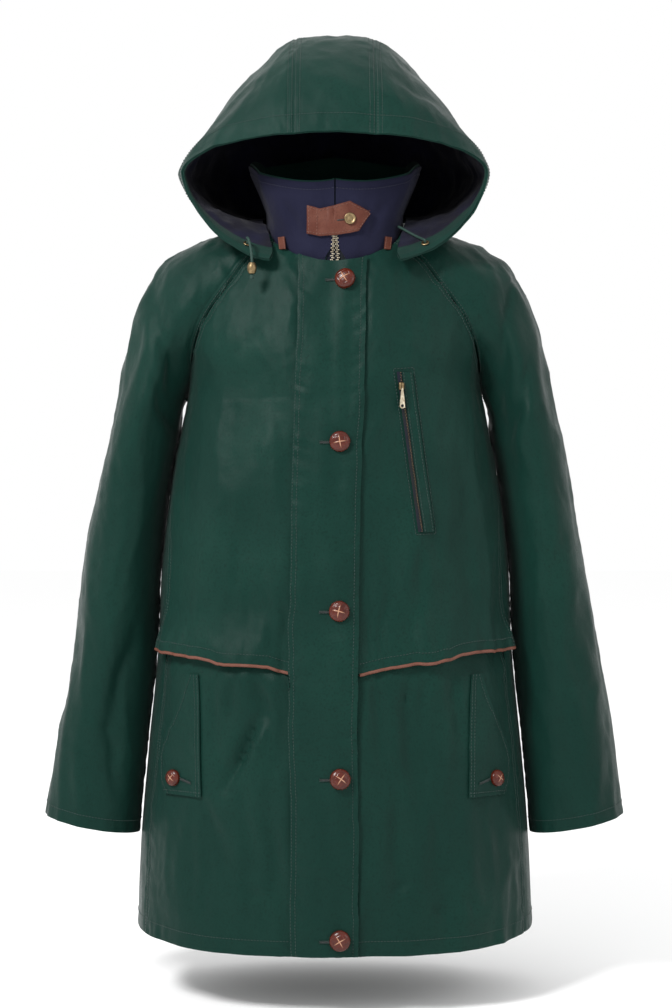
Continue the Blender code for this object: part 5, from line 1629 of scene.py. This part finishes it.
def front_zip(front, looks):
    across = np.array([-ZIP_TAPE_X, -0.0080, -ZIP_CHAIN_X, 0.0, ZIP_CHAIN_X, 0.0080, ZIP_TAPE_X])
    raised = np.array([0, 0, 0.6, 0.8, 0.6, 0, 0])[None, :] * (ZIP_DEEP - GAP)
    zs = np.linspace(ZIP_TOP_Z, ZIP_LOW_Z, 180)[:, None]
    dip = ZIP_DIP * ease((zs - FLAP_FRONT_Z + 0.055) / 0.030) * ease(
        (FLAP_FRONT_Z + 0.070 - zs) / 0.030
    )
    grid = laid(front, across[None, :], zs, raised - ZIP_DEEP - 0.0006 - dip)
    wall("front_zip", grid, ZIP_WALL, looks["tape"], slot="zip_tape")
    line, normals = grid[:, 3], grid_normals(grid)[:, 3]
    strip_of_teeth("front_zip_teeth", line, normals, 0.0016, ZIP_TEETH, looks["nickel"])


def collar_zip(collar_outer, looks):
    """The zip's top between the collar's ends, which shows under the throat tab."""
    surface = tree(collar_outer)
    rows = np.linspace(0.004, ZIP_TOP_Z + 0.001, 24)[:, None]
    xs = np.linspace(-0.0110, 0.0110, 9)[None, :]
    cast = np.where(xs < 0, np.minimum(xs, -0.016), np.maximum(xs, 0.016))
    grid = laid(surface, cast, rows, -COLLAR_WALL)
    grid[..., 0] = xs
    wall("collar_zip_tape", grid, ZIP_WALL, looks["tape"])
    line = grid[:, 4] - [0, 0.0012, 0]
    normals = np.repeat([[0.0, -1.0, 0.0]], len(line), axis=0)
    for turn in (-1, 1):
        spread = line + np.array([0.0022 * turn, 0, 0]) * np.linspace(0.4, 1.6, len(line))[:, None]
        strip_of_teeth(
            f"collar_zip_teeth_{'left' if turn > 0 else 'right'}", spread, normals, 0.0021,
            COLLAR_TEETH, looks["nickel"],
        )


def pipings(done, looks):
    """A leather cord under each flap's edge."""
    starts = {"left": FLY["free_x"][-1], "right": -FLY["sewn_x"][-1]}
    for side in ("left", "right"):
        upper = done[f"upper_{side}"]
        line = upper[-1] - grid_normals(upper)[-1] * WALL / 2 - [0, 0, PIPING_RADIUS * 0.9]
        fine = smooth_line(line, 150)
        kept = fine[fine[:, 0] > starts[side] + 0.0008]
        if side == "right":
            kept = kept * [-1, 1, 1]
        cord_mesh(f"piping_{side}", kept, PIPING_RADIUS, looks["piping"], slot="tan_leather")


POCKET_ROWS = 56
POCKET_ACROSS = 18


def lower_pockets(done, looks):
    """The slanted pocket flaps on the skirts, with their stitches, buttons and buttonholes."""
    levels = np.linspace(POCKET["down"][0], POCKET["down"][-1], POCKET_ROWS + 1)[:, None]
    inner = read(POCKET, "inner_x", levels)
    shares = crowded(POCKET_ACROSS + 1, 0.5)[None, :]
    xs = inner + (read(POCKET, "outer_x", levels) - inner) * shares
    lift = LAID + (0.0020 - LAID) * ease((levels - 0.520) / 0.05)
    for side in ("left", "right"):
        skirt = tree(done[f"lower_{side}"])
        grid = laid(skirt, xs, -levels, lift + THIN_WALL)
        grid = sewn(grid, grid_normals(grid), "", hems="eb", pucker=0.9)
        turn = mirrored if side == "right" else np.copy
        sign = np.array([-1 if side == "right" else 1, 1, 1])
        name = f"pocket_{side}"
        made = wall(name, turn(grid), THIN_WALL, looks["green"], slot="green_cloth")
        stitch_edges("thread", turn(grid), "s" if side == "right" else "e", (0.0050,))
        stitch_edges("thread", turn(grid), "b", (0.0050,))
        stitch_edges("thread", turn(grid), "e" if side == "right" else "s", (0.0018, 0.0060))
        surface = tree(grid)
        place, normal = front_at(surface, *POCKET_BUTTON)
        woven_dome(
            f"pocket_button_{side}", place * sign, normal * sign,
            POCKET_BUTTON_RADIUS, POCKET_BUTTON_HEIGHT, looks, math.radians(40),
        )
        x, z = POCKET_BUTTON
        line, normals = line_on(surface, [(x - 0.021, z - 0.004), (x - 0.008, z)], 0.0008, 16)
        buttonhole(line * sign, normals * sign)


def slit_x(z):
    share = (SLIT_TOP[1] - z) / (SLIT_TOP[1] - SLIT_LOW[1])
    return SLIT_TOP[0] + (SLIT_LOW[0] - SLIT_TOP[0]) * share


SLIT_TEETH = (0.0013, 0.0007, 0.0007)
BOX_OUT = 0.0030  # the stitched box stands this far outside the welt and tape


def chest_pocket(surface, looks):
    zs = np.linspace(SLIT_TOP[1], SLIT_LOW[1], 70)[:, None]
    welt = slit_x(zs) + 0.0006 + WELT_WIDTH * crowded(9, 0.5)[None, :]
    grid = laid(surface, welt, zs, LAID + THIN_WALL)
    grid = sewn(grid, grid_normals(grid), "", hems="e", pucker=0.6)
    made = wall("chest_welt", grid, THIN_WALL, looks["green"], slot="green_cloth")
    stitch_edges("thread", grid, "e", (0.0022,))
    stitch_edges("thread", grid, "s", (0.0016,))
    tape = slit_x(zs) - TAPE_WIDTH * np.linspace(1, 0, 5)[None, :]
    grid = laid(surface, tape, zs, LAID + FACING_WALL)
    wall("chest_zip", grid, FACING_WALL, looks["tape"], slot="zip_tape")
    strip_of_teeth(
        "chest_zip_teeth", grid[:, 3], grid_normals(grid)[:, 3], 0.0018, SLIT_TEETH, looks["brass"]
    )
    top, low = SLIT_TOP[1] + BOX_OUT, SLIT_LOW[1] - BOX_OUT
    left = TAPE_WIDTH + BOX_OUT
    right = WELT_WIDTH + BOX_OUT
    corners = [(slit_x(top) - left, top), (slit_x(top) + right, top + 0.002),
               (slit_x(low) + right, low + 0.001), (slit_x(low) - left, low)]
    for a, b in zip(corners, corners[1:] + corners[:1]):
        stitch("thread", *line_on(surface, [a, b], 0.0003, 60))


def slider_place(surface):
    """The chest zip's slider: its base and its directions across, out and down."""
    z = SLIT_TOP[1] + (SLIT_LOW[1] - SLIT_TOP[1]) * SLIDER_DOWN
    place, normal = front_at(surface, slit_x(z) - TAPE_WIDTH / 2, z)
    across, down = frame_at(normal)
    return place + normal * (LAID + THIN_WALL + GAP), across, normal, down


def rounded_block(base, across, normal, down, size, rings=10, power_of=4.0):
    """A superellipse-shaped block's points and faces, flat at the back."""
    points = []
    sides = 28
    for i in range(rings + 1):
        share = i / rings
        narrow = (1 - share**3.2) ** 0.45 if share < 1 else 0.02
        for j in range(sides):
            turn = 2 * math.pi * j / sides
            u = power(math.cos(turn), 2 / power_of) * size[0] / 2 * (0.25 + 0.75 * narrow)
            v = power(math.sin(turn), 2 / power_of) * size[2] / 2 * (0.25 + 0.75 * narrow)
            points.append(base + across * u + down * v + normal * size[1] * share)
    faces = []
    for i in range(rings):
        for j in range(sides):
            k = (j + 1) % sides
            a, b = i * sides, (i + 1) * sides
            faces.append((a + k, a + j, b + j, b + k))
    faces.append(tuple(rings * sides + j for j in reversed(range(sides))))
    faces.append(tuple(range(sides)))
    return points, faces


def chest_slider(surface, looks):
    base, across, normal, down = slider_place(surface)
    points, faces = rounded_block(base, across, normal, down, SLIDER)
    bail = [(-0.34, 0.75), (-0.30, 1.25), (0.05, 1.42), (0.26, 1.25), (0.30, 0.75)]
    line = smooth_line([base + down * SLIDER[2] * v + normal * SLIDER[1] * n for v, n in bail], 20)
    rings = tube_rings(line, 0.0007, 10)
    faces += tube_faces(len(rings), 10, len(points))
    points += rings.reshape(-1, 3).tolist()
    add_mesh("chest_slider", points, faces, looks["brass"], slot="antique_brass")
    hinge = base + normal * (SLIDER[1] + PULL_CLEAR) + down * SLIDER[2] * 0.15
    chest_pull(hinge, across, normal, down, looks)


# The pull tab's section: share of the way from its hole to its outline, and share of its thickness
PULL_RINGS = (
    (1, -0.5), (0.97, -0.46), (0.97, 0.46), (0.93, 0.52), (0.86, 0.46), (0.80, 0.34),
    (0.22, 0.34), (0.10, 0.46), (0.0, 0.40), (0.0, -0.40), (0.10, -0.5),
)


def chest_pull(hinge, across, normal, down, looks):
    """A flat metal tab with a raised rim and a round hole, which swings from the slider."""
    sides = 64
    low = PULL_LENGTH - PULL_WIDTH / 2
    top = PULL_WIDTH * 0.27
    angles = [2 * math.pi * k / sides for k in range(sides)]
    outline = []
    for turn in angles:
        u, v = math.sin(turn), math.cos(turn)
        if v >= 0:
            outline.append((u * PULL_WIDTH / 2, low + v * PULL_WIDTH / 2))
        else:
            half = PULL_WIDTH / 2 + (top - PULL_WIDTH / 2) * -v
            outline.append((u * half, low * (1 + v) - PULL_THICK / 2 * -v))
    hole = [(math.sin(t) * PULL_HOLE, low + math.cos(t) * PULL_HOLE) for t in angles]
    rings = [
        [(h[0] + (o[0] - h[0]) * inset, h[1] + (o[1] - h[1]) * inset, lift) for o, h in zip(outline, hole)]
        for inset, lift in PULL_RINGS
    ]
    points = []
    for ring in rings:
        points += [hinge + across * u + down * v + normal * PULL_THICK * w for u, v, w in ring]
    faces = []
    for i in range(len(rings)):
        n = (i + 1) % len(rings)
        for j in range(sides):
            k = (j + 1) % sides
            faces.append((i * sides + j, n * sides + j, n * sides + k, i * sides + k))
    add_mesh("chest_pull", points, faces, looks["nickel"], body=PULL, slot="antique_brass")


def turned_mesh(name, profile, place, axis, look, sides=40, hollow=False, **words):
    """A turned piece: profile rows are (radius, height); a hollow one closes on itself."""
    axis = unit(np.asarray(axis, float))
    level = np.array([0.0, 0.0, 1.0] if abs(axis[2]) < 0.9 else [1.0, 0.0, 0.0])
    side = unit(np.cross(axis, level))
    other = np.cross(axis, side)
    turn = np.arange(sides) * 2 * math.pi / sides
    round_it = side * np.cos(turn)[:, None] + other * np.sin(turn)[:, None]
    points = np.concatenate([np.asarray(place) + axis * h + round_it * max(r, 1e-5) for r, h in profile])
    faces = []
    pairs = list(zip(range(len(profile)), list(range(1, len(profile))) + [0]))
    for low, high in pairs if hollow else pairs[:-1]:
        for k in range(sides):
            n = (k + 1) % sides
            faces.append((low * sides + k, low * sides + n, high * sides + n, high * sides + k))
    if not hollow:
        faces.append(tuple(reversed(range(sides))))
        faces.append(tuple((len(profile) - 1) * sides + k for k in range(sides)))
    return add_mesh(name, points, faces, look, **words)


def throat_tab(collar_outer, looks):
    """The leather tab across the collar's ends, and its metal button."""
    surface = tree(collar_outer)
    xs = np.linspace(TAB["x"][0], TAB["x"][-1], 75)
    xs = np.sort(np.concatenate([xs[1:-1], TAB["x"]]))[None, :]
    down = crowded(25, 0.5)[:, None]
    high, low = (np.interp(xs, TAB["x"], TAB[name]) for name in ("high", "low"))
    zs = high + (low - high) * down
    cast_x = np.where(xs < 0, np.minimum(xs, -0.006), np.maximum(xs, 0.006))
    grid = laid(surface, cast_x, zs, 0.0016 + TAB_WALL)
    grid[..., 0] += xs - cast_x
    normals = grid_normals(grid)
    grid = grid - normals * (0.0007 * noise_at(grid, 0.012, 0.012, 77))[..., None]
    away = edge_distances(grid)
    edge = np.minimum(np.minimum(away["s"], away["e"]), np.minimum(away["t"], away["b"]))
    grid = grid - normals * (0.0007 * (1 - ease(edge / 0.0016)))[..., None]
    wall("throat_tab", grid, TAB_WALL, looks["tan"], slot="tan_leather")
    for side in "tb":
        stitch_edges("tan_thread", grid, side, (0.0026,))
    stitch_edges("tan_thread", grid, "s", (0.0030, 0.0125))
    skin = tree(grid)
    place, normal = front_at(skin, *TAB_BUTTON)
    r, h = TAB_BUTTON_RADIUS, TAB_BUTTON_HEIGHT
    profile = [(r * 0.5, 0), (r * 0.95, h * 0.25), (r, h * 0.5), (r * 0.98, h * 0.8), (r * 0.9, h),
               (r * 0.78, h * 0.98), (r * 0.70, h * 0.78), (r * 0.55, h * 0.72), (r * 0.3, h * 0.86),
               (0, h * 0.9)]
    turned_mesh(
        "tab_button", profile, place + normal * GAP, normal, looks["brass"], 48,
        slot="antique_brass",
    )
    x, z = TAB_BUTTON
    line, normals = line_on(skin, [(x - 0.0150, z - 0.0020), (x - 0.0060, z - 0.0010)], 0.0003, 16)
    # the keyhole's slit, drawn later as a near-black tube of painted shade
    HOLES.append((line, 0.0007))


NECK_TAB_SHOWN = 0.62  # the share of its length that isn't hidden
NECK_TAB_SLANT = 0.0030


def neck_tabs(front, collar_outer, looks):
    xs = np.linspace(*NECK_TAB_X, 7)[None, :]
    zs = np.array(NECK_TAB_Z)[:, None]
    ends = laid(tree(front, collar_outer), xs, zs, 0)
    down = np.linspace(0, NECK_TAB_SHOWN, 20)[:, None, None]
    grid = ends[:1] + (ends[1:] - ends[:1]) * down
    grid = grid - np.array([0, NECK_TAB_OUT, 0])
    grid[..., 0] -= NECK_TAB_SLANT * down[..., 0]
    for name, turn in (("neck_tab_left", np.copy), ("neck_tab_right", mirrored)):
        wall(name, turn(grid), FACING_WALL, looks["tan"], slot="tan_leather")
        stitch_edges("tan_thread", turn(grid), "se", (0.0012,), pitch=0.0022, length=0.0016)


def eyelet(side, place, facing, looks):
    """A ring on the facing; returns the first points of its cord."""
    seat, normal = front_at(tree(facing), *place)
    seat = seat + normal * (FACING_WALL + LAID)
    r, hole, h = EYELET_RADIUS, EYELET_HOLE, EYELET_HEIGHT
    profile = [(hole, 0), (r * 0.95, 0), (r, h * 0.35), (r * 0.9, h * 0.8), (r * 0.7, h),
               (r * 0.52, h * 0.85), (hole, h * 0.4)]
    turned_mesh(
        f"eyelet_{side}", profile, seat, normal, looks["brass"], 40, hollow=True,
        slot="antique_brass",
    )
    return np.array([seat + normal * out for out in CORD_LEAVES])


def beaded_cord(start, looks):
    line = smooth_line(np.concatenate([start, HANGING_CORD]), 60)
    cord = cord_mesh("hood_cord_right", line, CORD_RADIUS, looks["cord"], slot="green_cord")
    end, down = line[-1], np.array([0.0, 0.0, -1.0])
    top = end - down * (BEAD_LENGTH + BEAD_ABOVE_END)
    r, hole, h = BEAD_RADIUS, BEAD_HOLE, BEAD_LENGTH
    profile = [(hole, 0.02), (r * 0.62, 0), (r * 0.74, 0.04), (r * 0.74, 0.10), (r * 0.84, 0.14),
               (r * 0.96, 0.30), (r, 0.50), (r * 0.96, 0.70), (r * 0.84, 0.86), (r * 0.74, 0.90),
               (r * 0.74, 0.96), (r * 0.62, 1.0), (hole, 0.98)]
    bead = turned_mesh(
        "cord_bead", [(a, b * h) for a, b in profile], top, down, looks["brass"], 40, hollow=True,
        slot="antique_brass",
    )
    r, h = KNOT_RADIUS, KNOT_LENGTH
    profile = [(CORD_RADIUS, 0), (r * 0.9, h * 0.16), (r, h * 0.36), (r * 0.82, h * 0.5),
               (r * 0.92, h * 0.66), (r * 0.7, h * 0.88), (r * 0.3, h)]
    knot = turned_mesh(
        "cord_knot", profile, end + down * GAP, down, looks["cord"], 32,
        slot="green_cord",
    )
    return cord, line, (bead, knot)


def crossing_cord(start, below, looks):
    line = list(start)
    first = start[-1][[0, 2]]
    for share in np.linspace(0, 1, 5)[1:]:
        x, z = first + (CROSSING_CORD_END - first) * share
        line.append(front_at(below, x, z)[0] - [0, CROSSING_CORD_OUT, 0])
    line = smooth_line(line, 50)
    cord = cord_mesh("hood_cord_left", line, CORD_RADIUS, looks["cord"], slot="green_cord")
    return cord, line


def hood_hardware(facing, lining, collar_outer, looks):
    cord, line, pieces = beaded_cord(eyelet("right", EYELET_RIGHT, facing, looks), looks)
    start = eyelet("left", EYELET_LEFT, facing, looks)
    cord, line = crossing_cord(start, tree(facing, lining, collar_outer), looks)


# --- the whole coat ------------------------------------------------------------------------


def build_coat():
    looks = make_materials()
    whole = whole_panels()
    done = body_and_sleeves(whole, looks)
    front = tree(whole["front_left"], whole["front_right"])
    facing, lining = hood(looks)
    collar_outer = collar(looks)
    fly = storm_fly(front, looks)
    buttons(fly, looks)
    front_zip(front, looks)
    collar_zip(collar_outer, looks)
    pipings(done, looks)
    lower_pockets(done, looks)
    left = tree(done["upper_left"])
    chest_pocket(left, looks)
    chest_slider(left, looks)
    throat_tab(collar_outer, looks)
    neck_tabs(whole["front_left"], collar_outer, looks)
    hood_hardware(facing, lining, collar_outer, looks)
    make_stitches(looks)
    make_holes(looks)


# --- floor, light and camera ---------------------------------------------------------------

FLOOR_Z = -0.875
FLOOR_SIZE = 30.0
CAMERA = (0.0012, -2.40, -0.309)
LENS = 73.2  # mm
SENSOR = 36  # mm high
LIGHTS = (  # name, place, what it is aimed at, size and watts
    ("key", (-1.5, -1.9, 1.6), (0, 0, -0.25), (0.7, 0.7), 100),
    ("fill", (1.9, -1.5, 0.5), (0, 0, -0.35), (0.8, 1.4), 10),
    ("crown", (0.3, -0.2, 1.9), (0, 0, 0), (0.9, 0.6), 2),
)


def area_light(name, place, aim, size, power_watts):
    data = bpy.data.lights.new(name, "AREA")
    data.shape = "RECTANGLE"
    data.size, data.size_y = size
    data.energy = power_watts
    light = bpy.data.objects.new(name, data)
    light.location = place
    light.rotation_euler = (Vector(aim) - Vector(place)).to_track_quat("-Z", "Y").to_euler()
    bpy.context.collection.objects.link(light)


def studio():
    half = FLOOR_SIZE / 2
    mesh = bpy.data.meshes.new("floor")
    corners = [(x * half, y * half, FLOOR_Z) for x, y in ((-1, -1), (1, -1), (1, 1), (-1, 1))]
    mesh.from_pydata(corners, [], [(0, 1, 2, 3)])
    floor = bpy.data.objects.new("floor", mesh)
    bpy.context.collection.objects.link(floor)
    look = Look("floor", (0.985, 0.985, 0.985), 0.95)
    look.set("Specular IOR Level", 0.0)
    mesh.materials.append(look.made)
    world = bpy.data.worlds.new("studio")
    bpy.context.scene.world = world
    world.use_nodes = True
    background = world.node_tree.nodes["Background"]
    background.inputs["Color"].default_value = (1.0, 1.0, 1.0, 1)
    background.inputs["Strength"].default_value = 1.0
    bpy.context.scene.view_settings.view_transform = "Standard"
    for light in LIGHTS:
        area_light(*light)
    camera = bpy.data.objects.new("camera", bpy.data.cameras.new("camera"))
    camera.location = CAMERA
    camera.rotation_euler = (math.radians(90), 0, 0)
    camera.data.lens = LENS
    camera.data.sensor_fit = "VERTICAL"
    camera.data.sensor_height = SENSOR
    bpy.context.collection.objects.link(camera)
    bpy.context.scene.camera = camera


build_coat()
studio()
